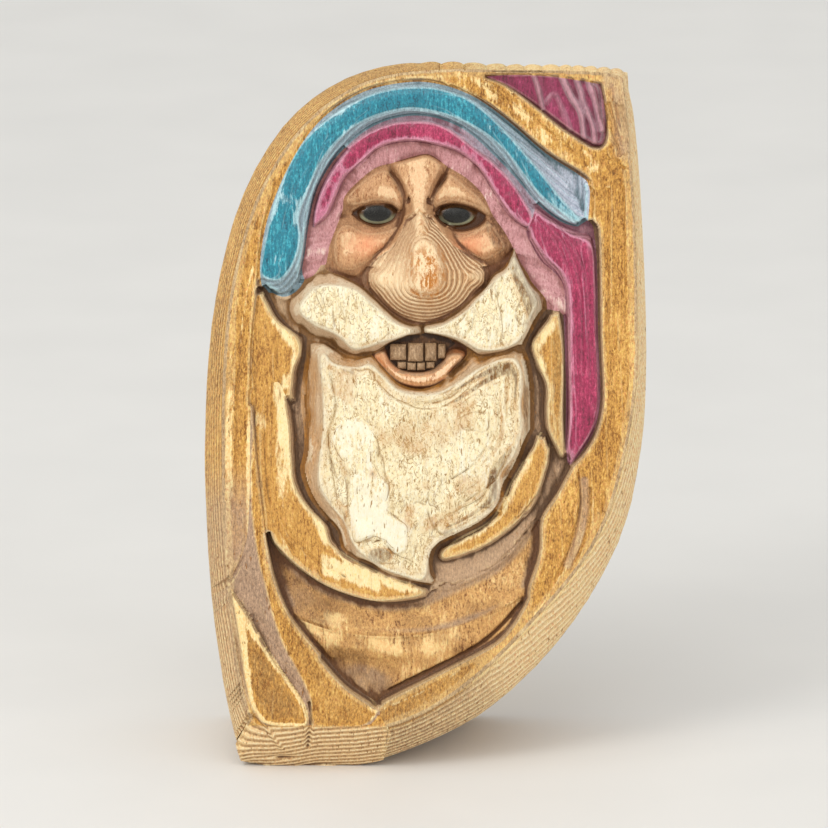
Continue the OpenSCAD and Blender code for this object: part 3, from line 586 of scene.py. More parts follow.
def nose(s, u, v):
    s.tint = 1.2 * np.exp(-((u - 0.6) / 5.2) ** 4 - ((v - 124.6) / 7.6) ** 4)
    s.tint = np.maximum(s.tint, 0.6 * step(-np.hypot(u + 0.9, (v - 138.4) / 1.8), -2.6, -1.2))
    middle = step(-np.hypot((u - 0.2) / 4.6, (v - 126.4) / 7), -1.1, -0.8)
    left = step(-u, -2, 3) * step(v - 0.5 * np.abs(u), 111, 117)
    s.calm = np.maximum(middle, 0.12 * left * step(v, 119, 123))
    # The pale left flank (left) is painted light on the side toward the lamp. shade is painted shade under
    # the nose, darkest along its lower edge.
    s.light = 0.5 * middle + 0.5 * left + 0.15
    s.shade = (0.4 + 0.3 * step(-s.edge, -1.2, 0)) * step(-v, -120, -114)
    s.steps = 0.55 * (1 - s.calm)
    return nose_height(s)


def forehead(s, u, v):
    s.light = 0.8 - np.abs(u + 1.8) / np.interp(v, [140, 146, 152], [3.6, 4.2, 6]) * 0.7
    half = np.interp(v, [138, 143, 147, 151, 155], [3.0, 2.4, 3.2, 5.2, 6.5])
    # painted shade in the creases between the forehead ridge and the brows
    s.shade = 0.75 * step(np.abs(u + 1.8) - half, 0, 1.4) * step(v, 143, 146)
    s.steps = 0.2
    s.calm = 1.0
    return nose_height(s)


def beside_nose(s, h):
    """The root of the nose runs on over the edge of the pieces beside it."""
    ridge = nose_height(s, -9)
    on = step(ridge - h, -0.2, 0.3)
    s.shade, s.light = s.shade * (1 - on), s.light + (0.6 - s.light) * on
    s.paint = np.where(ridge > h, 3.0, s.paint)
    s.calm = 1.0
    return np.maximum(h, ridge)


def brow(poly):
    def height(s, u, v):
        h = s.plateau(poly, -2.7, 0.6, -4.1, 0.8) + 0.25 * noise(u / 2.4, v / 2.4, 48)
        s.light = 0.75 * step(s.paint, -0.3, 1.7) * band(u + 1.8, 15, 9) * step(-v, -149, -145)
        s.shade = 0.35 + 0.25 * step(np.abs(u + 1.8), 10, 17) - 0.3 * step(s.paint, 0, 1.4)
        s.steps = 0.2
        return beside_nose(s, h)
    return height


def cheek(poly, blush):
    def height(s, u, v):
        h = s.plateau(poly, -3.1, 0.5, -4.4, 0.9) + 0.25 * noise(u / 2.4, v / 2.4, 49)
        s.shade = 0.4 - 0.35 * step(s.paint, 0, 1.8)
        # painted shade on the right cheek's right edge, the side turned from the light
        if s.name == "cheek_right":
            s.darken(step(u + 0.5 * (v - 130), 17.2, 18.4))
        s.tint = np.exp(-((u - blush) / 4) ** 2 - ((v - 132) / 3) ** 2)
        s.light = 0.65 * step(s.paint, 0.0, 2.2) * step(v, 127, 131)
        s.steps = 0.2
        return beside_nose(s, h)
    return height


def eye(middle):
    def height(s, u, v):
        r = np.hypot((u - middle[0]) / 4.4, (v - middle[1]) / 2.5)
        s.paint = (1 - r) * 2.6
        s.tint = np.clip((middle[1] - v) / 2, -1, 1)
        s.steps = 0.0
        h = -4.9 + 0.9 * np.sqrt(np.clip(1 - r * r, 0, 1)) - 0.7 * step(r, 0.95, 1.25)
        return np.where(r > 1.15, np.maximum(h, nose_height(s, -9)), h)
    return height


def lower_lip(s, u, v):
    h = s.plateau(LIP, -1.4, 1.4, -4.4, 0.6)
    s.shade = 0.7 * step(-s.paint, 0, 1.2)
    s.light = 0.7 * step(s.paint, 0.3, 1.2)
    s.tint = 0.9 * step(noise(u / 2.4, v / 1.2, 60), 0.1, 0.5) * step(-s.paint, -1.6, -0.4)
    s.steps, s.calm = 0.1, 1.0
    return h


def mouth_floor(s, u, v):
    s.steps = 0.1
    return -4.0 + 0.2 * noise(u, v, 20)


def hood_lining(s, u, v):
    turn, r = np.arctan2(v - 134, u + 1), np.hypot(u + 1, v - 134)
    folds = noise(turn * 9, r / 9, 19)
    # shade is painted shade: in the hollows of the folds, and at the top of the lining and the face's top
    # edge under the hood
    s.shade = 0.3 * step(-folds, 0.1, 0.7) + s.bump(-3, 155, 5, 3, 0.5)
    s.shade = s.shade + 0.35 * step(v, 150, 158) * band(u + 2, 16, 8)
    s.light = 0.2 + 0.35 * folds
    s.steps = 0.1
    return -3.5 - 0.5 * step(-r, -21, -15) + 0.45 * folds + 0.2 * noise(turn * 24, r / 6, 53)


def hat_band(s, u, v):
    s.steps = 0.2
    h = s.plateau(TEAL, -0.3, 0.62, -2.8, 0.5)
    h = np.maximum(h, -0.5 - 0.6 * np.maximum(41.6 - u, 0))
    s.tint = step(u, 20, 34) * step(-s.paint, 0, 0.6)
    turn = np.arctan2(v - 134, u + 1)
    s.light = 0.55 * noise(turn * 7, s.paint / 1.6, 75) + 0.25 * step(-s.paint, -1.6, 0) * step(-u, 14, 24)
    return h + s.groove([(-36.4, 127), (-35.6, 137), (-31.4, 149), (-24, 159), (-14, 165.6)], 0.6, 0.15)


def hat_brim(s, u, v):
    s.steps = 0.25
    s.tint = step(-s.to(CUFF), 0, 0.8) * step(np.hypot(u + 1, v - 134), 25, 26.4)
    return s.plateau(CUFF, -1.7, 0.6, -2.6, 0.4) + 0.2 * noise(np.arctan2(v - 134, u + 1) * 16, v / 9, 54)


def hat_tail(s, u, v):
    s.steps = 0.25
    h = s.plateau(TAIL, -1.5, 1.0, -3.3, 0.5)
    s.shade = 0.35 * step(v, 122, 134) * (0.6 + 0.4 * noise(u / 4, v / 5, 68))
    for k in range(3):
        h = (h + s.groove([(28 + 3 * k, 139 - 1.4 * k), (33.6 + 2.4 * k, 131 - k), (37 + 1.8 * k, 120),
                           (37.6 + 1.6 * k, 100)], 0.5, 0.3))
    return h


def corner_panel(s, u, v):
    h = s.plateau(PANEL, -1.6, 0.5, -2.0, 0.1)
    s.shade = 0.35 * step(noise(u / 3, v / 4, 66), 0.1, 0.6)
    folds = [[(26.7, 175), (28.1, 170.5), (29, 166)], [(33.6, 175), (35.7, 170), (38.5, 165.3), (39.6, 159)],
             [(37.1, 175), (39, 168.6), (41.4, 162), (42, 158)], [(40, 174), (42, 168.2), (43.8, 161)],
             [(30, 167.6), (31.9, 169.6), (33.8, 166), (35.7, 161)]]
    for k, line in enumerate(folds):
        near = s.line(line) + 0.3 * noise(u / 2, v / 3, 52)
        h = h + (0.9, 1.1, 1.0, 1.0, 0.4)[k] * step(-near, -1.1, 0)
        s.tint = np.maximum(s.tint, (0.8, 1.0, 0.9, 0.9, 0.3)[k] * step(-near, -1.05, -0.55))
    s.tint = np.maximum(s.tint, step(s.paint, 0, 0.3) * step(-s.paint, -1.2, -0.5) * step(u, 38, 41))
    s.steps, s.calm = 0.0, 1.0
    return h + 0.15 * noise(u / 1.4, v / 6, 52)


CARVING = {f.__name__: f for f in (
    border_left, border_corner, border_right, hood_edge, foot_ledge, corner_leaf, left_fold,
    robe_fold_upper, robe_fold_lower, beard, nose, forehead, lower_lip, mouth_floor, hood_lining,
    hat_band, hat_brim, hat_tail, corner_panel)}
CARVING.update({
    "left_hair": whisker(HAIR_L, -1.0, -4.4, [(-38, 113), (-33.6, 108), (-33, 104), (-34.6, 97)]),
    "outer_beard_left": whisker(
        OUTER_L, -1.1, -4.4,
        [(-36.4, 92), (-34.8, 80), (-33.4, 72), (-28, 63.6), (-22, 54.6), (-10, 48), (-3, 45.4)],
        [[(-38.6, 92), (-38, 82), (-38.4, 72), (-35.6, 62), (-29, 54), (-20, 48.6)],
         [(-40.4, 90), (-40, 74), (-37.4, 62), (-32, 54)]]),
    "right_hair": whisker(HAIR_R, -1.3, -4.2, [(31, 112), (28, 106), (29.6, 99), (30.8, 90)]),
    "outer_beard_right": whisker(
        OUTER_R, -1.6, -4.2, [(25.4, 78), (20.6, 68), (18, 63), (8, 57.4)],
        [[(31.5 - k * 1.4, 82 - k * 3.2), (29.5 - k * 1.6, 72 - k * 2.6), (24 - k * 2.4, 64 - k * 2)]
         for k in range(5)]),
    "moustache_left": moustache(MOU_L, [[(-23, 120), (-20.6, 115), (-18.6, 109)],
                                        [(-27, 120), (-25, 115)]]),
    "moustache_right": moustache(MOU_R, [[(19, 124), (17.6, 118), (18.6, 111), (16.6, 107)],
                                         [(13, 118), (12, 113), (9.6, 109)]]),
    "brow_left": brow(BROW_L), "brow_right": brow(BROW_R),
    "cheek_left": cheek(CHEEK_L, -15), "cheek_right": cheek(CHEEK_R, 11),
    "eye_left": eye((-12.2, 139.8)), "eye_right": eye((7.6, 139.4)),
})

KEYS = ("ring", "pitch", "bare", "paint", "shade", "tint", "light", "steep", "cav", "dip")
spots, tops = {}, {}
lower, upper = np.full(U.shape, 99.0), np.full(U.shape, -99.0)      # the heights where pieces meet
for n in names:
    i, j = np.nonzero((corner == names.index(n)).any(0))
    s = Spot(n, i, j)
    tops[n] = np.clip(CARVING[n](s, s.u, s.v), FLOOR + 0.3, 7.4)
    spots[n] = (s, i, j)
    meets = two[i, j] & (last[i, j] != AIR) | ~two[i, j] & (first[i, j] != last[i, j])
    lower[i[meets], j[meets]] = np.minimum(lower[i[meets], j[meets]], tops[n][meets])
    upper[i[meets], j[meets]] = np.maximum(upper[i[meets], j[meets]], tops[n][meets])
WALL = 0.75                          # width of the short wall between two levels
known = lower < 90
shared = np.where(known, lower + 0.5 * (upper - lower) * step(lower - upper, -1.6, -0.6), 99.0)
for _ in range(int(WALL / GRID) + 1):    # spread the shared heights into the pieces
    total, count = np.zeros(U.shape), np.zeros(U.shape)
    for shift, axis in ((1, 0), (-1, 0), (1, 1), (-1, 1)):
        near = np.roll(known, shift, axis)
        total += np.where(near, np.roll(shared, shift, axis), 0)
        count += near
    fresh = ~known & (count > 0)
    shared = np.where(fresh, total / np.maximum(count, 1), shared)
    known |= fresh
height = np.full(U.shape, FLOOR)
for n in names:
    s, i, j = spots[n]
    s.meets = two[i, j] & (last[i, j] != AIR) | ~two[i, j] & (first[i, j] != last[i, j])
    low = shared[i, j]
    blend = np.where(s.meets, 0.0, step(s.edge, 0.0, WALL))
    tops[n] = np.where(known[i, j], low + (tops[n] - low) * blend, tops[n])
    height[i, j] = tops[n]
du, dv = np.gradient(blur(height, 1), GRID)
gentle = step(-np.hypot(du, dv), -1.7, -0.9)
for n in names:
    s, i, j = spots[n]
    ring = phase(s.u, s.v, tops[n])
    frac = ring - np.floor(ring)
    h = tops[n] + np.where(s.meets, 0.2, s.steps) * gentle[i, j] * RING * (step(frac, 0.5, 0.98) - frac)
    h = h + 0.06 * noise(s.u / 0.9, s.v / 6, 5) + 0.05 * noise(s.u / 0.6, s.v / 2.4, 6)
    s.ring = ring
    tops[n] = h
    height[i, j] = h

# cav and dip: how far each point stands above (positive) or sinks below (negative) the blurred surface around
# it. From them the materials paint shade into the hollows and pale wear onto the crowns.
cav_small = height - blur(height, max(1, round(0.7 / GRID)))
cav_large = height - blur(height, max(1, round(2.2 / GRID)))
smooth = blur(height, 1)
du, dv = np.gradient(smooth, GRID)
fall = np.hypot(du, dv)
ringed = phase(PU, PV, smooth)
ru, rv = np.gradient(ringed, GRID)
pitch = np.clip(np.sqrt(1 + fall ** 2) / np.maximum(np.hypot(ru, rv), 0.05), 0.3, 12)
for n in names:
    s, i, j = spots[n]
    s.pitch, s.steep, s.cav, s.dip = pitch[i, j] + 20 * s.calm, fall[i, j], cav_small[i, j], cav_large[i, j]

# ------------------------------------------------------------------ meshes

def ordered(seg):
    """Segments in any order to one closed list of points, the longest loop."""
    link = {}
    for a, b, c, d in np.round(seg, 3):
        link.setdefault((a, b), []).append((c, d))
        link.setdefault((c, d), []).append((a, b))
    best, seen = [], set()
    for start in link:
        if start in seen:
            continue
        loop, at, back = [start], start, None
        seen.add(start)
        while True:
            nxt = [p for p in link[at] if p != back and (p not in seen or p == start)]
            if not nxt or nxt[0] == start:
                break
            back, at = at, nxt[0]
            seen.add(at)
            loop.append(at)
        if len(loop) > len(best):
            best = loop
    return np.array(best)


LAP = 40                             # points by which the outline overlaps itself at both ends
rim_centre = np.array([0.0, 90.0])
block = ordered(outline)
angle = np.unwrap(np.arctan2(*(block - rim_centre).T[::-1]))
if angle[-1] < angle[0]:
    block, angle = block[::-1], angle[::-1]
block = np.vstack([block[-LAP:], block, block[:LAP]])
angle = np.concatenate([angle[-LAP:] - 2 * math.pi, angle, angle[:LAP] + 2 * math.pi])


def on_block(u, v):
    """The point of the block's outline at the same bearing from the middle of the face."""
    t = np.arctan2(v - rim_centre[1], u - rim_centre[0])
    t = angle[LAP] + (t - angle[LAP]) % (2 * math.pi)
    return np.interp(t, angle, block[:, 0]), np.interp(t, angle, block[:, 1])


def add_piece(name, co, faces, attributes, creases=()):
    """A smooth-shaded mesh in the row's frame. creases are pairs of vertices whose edge stays sharp."""
    co = co.copy()
    co[:, 2] = np.maximum(co[:, 2], 0)
    me = bpy.data.meshes.new(name)
    me.from_pydata(co.tolist(), [], faces)
    me.update()
    for key, values in attributes.items():
        me.attributes.new(key, "FLOAT", "POINT").data.foreach_set("value", np.asarray(values, np.float32))
    me.polygons.foreach_set("use_smooth", np.ones(len(me.polygons), bool))
    if len(creases):
        ends = np.zeros(len(me.edges) * 2, np.int64)
        me.edges.foreach_get("vertices", ends)
        ends = np.sort(ends.reshape(-1, 2), 1)
        want = np.sort(np.array(creases, np.int64), 1)
        sharp = np.isin(ends[:, 0] * len(co) + ends[:, 1], want[:, 0] * len(co) + want[:, 1])
        me.attributes.new("sharp_edge", "BOOLEAN", "EDGE").data.foreach_set("value", sharp)
    ob = bpy.data.objects.new(name, me)
    bpy.context.scene.collection.objects.link(ob)
    return ob


BEVEL = 34     # points down the bevel


def bevel_columns(u, v, w):
    """Points down the outer bevel from rim points (u, v, w), as arrays (points, BEVEL)."""
    qu, qv = on_block(u, v)
    t = np.linspace(0, 1, BEVEL + 1)[1:]
    t = 0.5 * t + 0.5 * (1 - (1 - t) ** 1.6)
    share = np.repeat(t[None], len(u), 0)
    depth = 0.35 * share + 0.65 * (1 - np.sqrt(np.clip(1 - share, 0, 1)))
    out_u, out_v = u[:, None] + (qu - u)[:, None] * share, v[:, None] + (qv - v)[:, None] * share
    out_w = w[:, None] + (FLOOR - w)[:, None] * depth
    nu, nv = qu - u, qv - v
    size = np.maximum(np.hypot(nu, nv), 0.3)
    nu, nv = (nu / size)[:, None], (nv / size)[:, None]
    ring = phase(out_u, out_v, out_w, 0.3)
    hold = np.minimum(1, np.minimum(depth / 0.1, (1 - depth) / 0.05 + 0.3))
    proud = ((0.15 * swell(ring) + 0.08 * noise(out_u / 5 + out_v / 6, out_w / 2, 21)) * hold
             - scallop(out_u, out_v))
    move = np.sqrt(np.gradient(out_u, axis=1) ** 2 + np.gradient(out_v, axis=1) ** 2
                   + np.gradient(out_w, axis=1) ** 2)
    pitch = np.clip(move / np.maximum(np.abs(np.gradient(ring, axis=1)), 0.01), 0.3, 6)
    return out_u + nu * proud * 0.8, out_v + nv * proud * 0.8, out_w + proud * 0.5, ring, pitch


def build(n):
    """One piece of the carving: its top, the bevel where it reaches the rim, its hidden sides and foot."""
    s, i, j = spots[n]
    k = names.index(n)
    index = np.full(U.shape, -1)
    index[i, j] = np.arange(len(i))
    ci, cj = np.nonzero(label == k)
    quads = np.stack([index[ci, cj], index[ci + 1, cj], index[ci + 1, cj + 1], index[ci, cj + 1]], -1)
    faces = quads.tolist()
    edges, creases = {}, []
    for a, b, di, dj in ((0, 1, 0, -1), (1, 2, 1, 0), (2, 3, 0, 1), (3, 0, -1, 0)):
        other = label[np.clip(ci + di, 0, label.shape[0] - 1), np.clip(cj + dj, 0, label.shape[1] - 1)]
        for x, y, o in zip(quads[other != k, a], quads[other != k, b], other[other != k]):
            rim = bool(o == AIR and n != "foot_ledge")
            edges.setdefault(int(x), []).append((int(y), rim))
            if not rim:
                creases.append((int(x), int(y)))
    co = [np.stack([s.u, s.v, tops[n]], -1)]
    values = {q: [getattr(s, q)] for q in KEYS}
    touched = sorted(set(edges) | {y for e in edges.values() for y, _ in e})
    on_rim = {x for x, e in edges.items() for y, r in e if r} | {y for e in edges.values() for y, r in e if r}
    column, count = {}, len(s.u)
    plain = np.array([x for x in touched if x not in on_rim], int)
    if len(plain):
        co.append(np.stack([s.u[plain], s.v[plain], np.full(len(plain), FLOOR)], -1))
        for q in KEYS:
            values[q].append(values[q][0][plain])
        for m, x in enumerate(plain):
            column[int(x)] = [int(x), count + m]
        count += len(plain)
    rim = np.array([x for x in touched if x in on_rim], int)
    if len(rim):
        bu, bv, bw, ring, pitch = bevel_columns(s.u[rim], s.v[rim], tops[n][rim])
        co.append(np.stack([bu.ravel(), bv.ravel(), bw.ravel()], -1))
        stained = 0.15 + 0.85 * step(bu - 0.6 * (bv - 90), -44, 24)
        here = {"light": step(bu, -10, 30), "ring": ring, "pitch": pitch,
                "bare": step(np.linspace(0, 1, BEVEL)[None], -0.02, 0.12) * stained,
                "steep": np.zeros(bu.shape), "dip": np.full(bu.shape, 0.25),
                "cav": 0.12 * swell(ring) - 0.5 * scallop(bu, bv)}
        for q in KEYS:
            values[q].append(here[q].ravel() if q in here else np.repeat(values[q][0][rim], BEVEL))
        for m, x in enumerate(rim):
            column[int(x)] = [int(x)] + list(range(count + m * BEVEL, count + (m + 1) * BEVEL))
        count += len(rim) * BEVEL
    for x, ends in edges.items():
        for y, _ in ends:
            p, q = column[x], column[y]
            if len(p) == len(q):
                faces += [[q[m], p[m], p[m + 1], q[m + 1]] for m in range(len(p) - 1)]
            else:
                faces.append([q[0]] + p + q[:0:-1])
    co = np.vstack(co)
    left = {x: [y for y, _ in e] for x, e in edges.items()}
    loops = []
    while left:
        x = next(iter(left))
        loop = []
        while x in left:
            loop.append(x)
            y = left[x].pop()
            if not left[x]:
                del left[x]
            x = y
        loops.append(loop)
    under = [[Vector((*co[column[x][-1]][:2], 0)) for x in loop] for loop in loops]
    ids = [column[x][-1] for loop in loops for x in loop]
    for t in tessellate_polygon(under):
        a, b, c = (ids[m] for m in t)
        (x1, y1), (x2, y2), (x3, y3) = co[a][:2], co[b][:2], co[c][:2]
        if len({a, b, c}) == 3:
            faces.append([a, c, b] if (x2 - x1) * (y3 - y1) > (x3 - x1) * (y2 - y1) else [a, b, c])
    return add_piece("wood_" + n, to_row(*co.T), faces, {q: np.concatenate(values[q]) for q in KEYS}, creases)


def plain_masks(count, **given):
    """Attribute values for pieces outside the carved face: unstained unless given."""
    base = dict.fromkeys(KEYS, 0.0)
    base.update({"paint": 3.0, "pitch": 6.0, **given})
    return {q: np.ravel(base[q]) + np.zeros(count) for q in KEYS}


def build_back():
    """The thick of the block behind the carving: ringed side walls, the sawn back and the flat foot."""
    pts = ordered(outline)
    if ((np.roll(pts, -1, 0) - pts)[:, 1] * (pts[:, 0] + np.roll(pts[:, 0], -1))).sum() < 0:
        pts = pts[::-1]
    size = np.hypot(*(np.roll(pts, -1, 0) - pts).T)
    run = np.concatenate([[0], np.cumsum(size)])
    gap = 0.9
    n = int(run[-1] / gap)
    at = np.linspace(0, run[-1], n, endpoint=False)
    closed = np.vstack([pts, pts[:1]])
    u, v = np.interp(at, run, closed[:, 0]), np.interp(at, run, closed[:, 1])
    start = to_row(u, v, np.full(n, FLOOR)) * 1000
    way = np.array([0, math.cos(SLOPE), -math.sin(SLOPE)])
    back = cad_box[1][1] * 1000
    to_back = (back - start[:, 1]) / way[1]
    far = np.maximum(np.minimum(to_back, start[:, 2] / -way[2]), 0)
    lays = 130
    t = np.linspace(0, 1, lays)
    p = start[:, None] + far[:, None, None] * t[None, :, None] * way
    tangent = np.roll(start, -1, 0) - np.roll(start, 1, 0)
    normal = np.cross(way, tangent)
    normal /= np.linalg.norm(normal, axis=1)[:, None]
    f = to_face(p.reshape(-1, 3) / 1000)
    ring = phase(f[:, 0], f[:, 1], f[:, 2], 0.5).reshape(n, lays)
    proud = 0.16 * swell(ring) - 0.22 + 0.1 * noise(at[:, None] / 3, p[..., 1] / 2, 31)
    edge = np.minimum(t[None] * far[:, None], (1 - t[None]) * far[:, None])
    proud *= step(edge, 0, 0.8)
    proud -= 0.7 * np.clip(1 - (1 - t[None]) * far[:, None] / 0.9, 0, 1) ** 2 * (far[:, None] > 2)
    proud -= scallop(u, v)[:, None] * np.exp(-t[None] * far[:, None] / 9)
    p = p + normal[:, None] * proud[..., None]
    foot = far < to_back - 1e-6
    p[:, -1, 1] = np.where(foot, p[:, -1, 1], back)
    p[:, -1, 2] = np.where(foot, 0, p[:, -1, 2])
    index = np.arange(n * lays).reshape(n, lays)
    nxt = np.roll(index, -1, 0)
    faces = np.stack([index[:, :-1], index[:, 1:], nxt[:, 1:], nxt[:, :-1]], -1).reshape(-1, 4).tolist()
    faces.append([int(x) for x in index[:, 0]])
    order = np.nonzero(foot)[0]
    order = np.roll(order, -1 - int((np.diff(order) > 1).argmax()) if (np.diff(order) > 1).any() else 0)
    before, after = (order[0] - 1) % n, (order[-1] + 1) % n
    foot_loop = [int(index[k, -1]) for k in [before, *order, after]]
    rest, k = [int(index[after, -1])], after
    while k != before:
        k = (k + 1) % n
        rest.append(int(index[k, -1]))
    faces.append(foot_loop[::-1])
    loops = 44
    rim = p.reshape(-1, 3)[rest]
    middle = np.array([0, back, 92.0])
    share = np.linspace(1, 0, loops + 1)[1:-1]
    inner = (middle + (rim - middle) * share[:, None, None]).reshape(-1, 3)
    inner = np.vstack([inner, middle])
    first, size = n * lays, len(rest)
    loop_of = [rest] + [list(range(first + m * size, first + (m + 1) * size)) for m in range(loops - 1)]
    for a, b in zip(loop_of, loop_of[1:]):
        faces += [[a[m], b[m], b[(m + 1) % size], a[(m + 1) % size]] for m in range(size)]
    faces += [[loop_of[-1][m], first + len(inner) - 1, loop_of[-1][(m + 1) % size]] for m in range(size)]
    face_of = lambda q: phase(*to_face(q / 1000).T, 0.5)
    back_ring = face_of(inner)
    slope_x, slope_z = face_of(inner + [0.5, 0, 0]) - back_ring, face_of(inner + [0, 0, 0.5]) - back_ring
    back_pitch = np.clip(0.5 / np.hypot(slope_x, slope_z), 0.5, 12)
    last_row = [int(x) for x in index[:, -1]]
    creases = list(zip(last_row, last_row[1:] + last_row[:1])) + [(foot_loop[0], foot_loop[-1])]
    creases += list(zip(index[:, 0].tolist(), nxt[:, 0].tolist()))
    masks = plain_masks(n * lays + len(inner), ring=np.concatenate([ring.ravel(), back_ring]), bare=1.0,
                        dip=0.25, pitch=np.concatenate([np.full(n * lays, 1.3), back_pitch]),
                        cav=np.concatenate([0.12 * swell(ring.ravel()), np.zeros(len(inner))]))
    return add_piece("wood_back_block", np.vstack([p.reshape(-1, 3), inner]) / 1000, faces, masks, creases)


def build_teeth(name, row):
    """Worn square teeth, each a rounded block with a domed front."""
    co, faces, m = [], [], 9
    for k, (u0, u1, v0, v1, top) in enumerate(row):
        base = len(co)
        for i in range(m):
            for j in range(m):
                x, y = i / (m - 1), j / (m - 1)
                r = min(x, 1 - x, y, 1 - y) * 2
                edge = 1 - (1 - min(1, r * 1.8)) ** 2
                sag = 0.25 * math.sin(3 * x + k * 2) * y
                co.append((u0 + (u1 - u0) * x, v0 + (v1 - v0) * y + 0.15 * sag,
                           top - 0.7 + 0.7 * edge - 0.1 * sag))
        for i in range(m - 1):
            for j in range(m - 1):
                q = base + i * m + j
                faces.append([q, q + m, q + m + 1, q + 1])
        ring = ([base + i * m for i in range(m)] + [base + (m - 1) * m + j for j in range(1, m)]
                + [base + i * m + m - 1 for i in range(m - 2, -1, -1)]
                + [base + j for j in range(m - 2, 0, -1)])
        low = len(co)
        co += [(co[q][0], co[q][1], -5.5) for q in ring]
        size = len(ring)
        for q in range(size):
            a, b = ring[q], ring[(q + 1) % size]
            faces.append([b, a, low + q, low + (q + 1) % size])
        faces.append([low + q for q in range(size)][::-1])
    co = np.array(co)
    # cav falls down each tooth's sides, so the material paints shade between and under the teeth
    return add_piece("wood_" + name, to_row(*co.T), faces,
                     plain_masks(len(co), ring=phase(*co.T), cav=(co[:, 2] + 2.4) * 0.5, dip=-0.3))


# ------------------------------------------------------------------ materials

def rgb(r, g, b):
    """Colour given as screen values 0 to 255, in Blender's linear values."""
    return tuple(((c / 255 + 0.055) / 1.055) ** 2.4 if c > 10 else c / 255 / 12.92 for c in (r, g, b)) + (1,)


class Nodes:
    """Short names for the shader nodes every wood finish is made of."""

    def __init__(self, name):
        self.m = bpy.data.materials.new(name)
        self.m.use_nodes = True
        self.t = self.m.node_tree
        self.t.nodes.clear()
        place = self.new("TexCoord")
        size = self.new("VectorMath")
        size.operation = "SCALE"
        size.inputs["Scale"].default_value = 1000
        self.link(place.outputs["Object"], size.inputs[0])
        self.mm = size.outputs[0]

    def new(self, kind):
        return self.t.nodes.new("ShaderNode" + kind)

    def link(self, a, b):
        self.t.links.new(a, b)

    def put(self, socket, value):
        if isinstance(value, bpy.types.NodeSocket):
            self.link(value, socket)
        else:
            socket.default_value = value

    def math(self, op, a, b=0.0, c=0.0):
        n = self.new("Math")
        n.operation = op
        self.put(n.inputs[0], a)
        self.put(n.inputs[1], b)
        self.put(n.inputs[2], c)
        return n.outputs[0]

    def times(self, a, b):
        return self.math("MULTIPLY", a, b)

    def plus(self, a, b):
        return self.math("ADD", a, b)

    def get(self, key):
        n = self.new("Attribute")
        n.attribute_name = key
        return n.outputs["Fac"]

    def noise(self, scale, stretch=(1, 1, 1), detail=2.0, rough=0.5, twist=0.0):
        """Noise about 0, most of it within -0.5 to 0.5; scale is lumps per millimetre."""
        m = self.new("VectorMath")
        m.operation = "MULTIPLY"
        self.link(self.mm, m.inputs[0])
        m.inputs[1].default_value = stretch
        n = self.new("TexNoise")
        self.link(m.outputs[0], n.inputs["Vector"])
        n.inputs["Scale"].default_value = scale
        n.inputs["Detail"].default_value = detail
        n.inputs["Roughness"].default_value = rough
        n.inputs["Distortion"].default_value = twist
        return self.math("MULTIPLY_ADD", n.outputs["Fac"], 2.4, -1.2)

    def span(self, x, lo, hi, a=0.0, b=1.0):
        n = self.new("MapRange")
        n.interpolation_type = "SMOOTHSTEP"
        self.put(n.inputs["Value"], x)
        n.inputs["From Min"].default_value, n.inputs["From Max"].default_value = lo, hi
        n.inputs["To Min"].default_value, n.inputs["To Max"].default_value = a, b
        return n.outputs["Result"]

    def mix_number(self, fac, a, b):
        return self.plus(self.times(self.math("SUBTRACT", 1.0, fac), a), self.times(fac, b))

    def mix(self, fac, a, b, blend="MIX"):
        n = self.new("Mix")
        n.data_type, n.blend_type = "RGBA", blend
        self.put(n.inputs["Factor"], fac)
        self.put(n.inputs["A"], a)
        self.put(n.inputs["B"], b)
        return n.outputs["Result"]

    def ramp(self, x, stops):
        n = self.new("ValToRGB")
        self.put(n.inputs[0], x)
        e = n.color_ramp.elements
        e[0].position, e[0].color = stops[0]
        e[1].position, e[1].color = stops[-1]
        for p, c in stops[1:-1]:
            e.new(p).color = c
        return n.outputs["Color"]

    def finish(self, colour, rough, height, strength=0.5, reach=0.0004, coat=0.0, coat_rough=0.2,
               specular=0.4):
        b = self.new("Bump")
        b.inputs["Strength"].default_value = strength
        b.inputs["Distance"].default_value = reach
        self.put(b.inputs["Height"], height)
        p = self.new("BsdfPrincipled")
        self.link(colour, p.inputs["Base Color"])
        self.link(rough, p.inputs["Roughness"])
        self.link(b.outputs[0], p.inputs["Normal"])
        p.inputs["Coat Weight"].default_value = coat
        p.inputs["Coat Roughness"].default_value = coat_rough
        p.inputs["Specular IOR Level"].default_value = specular
        out = self.new("OutputMaterial")
        self.link(p.outputs[0], out.inputs["Surface"])
        return self.m


STRAW, PALE_RIDGE, BROWN_LINE = rgb(230, 194, 140), rgb(246, 220, 172), rgb(168, 124, 78)


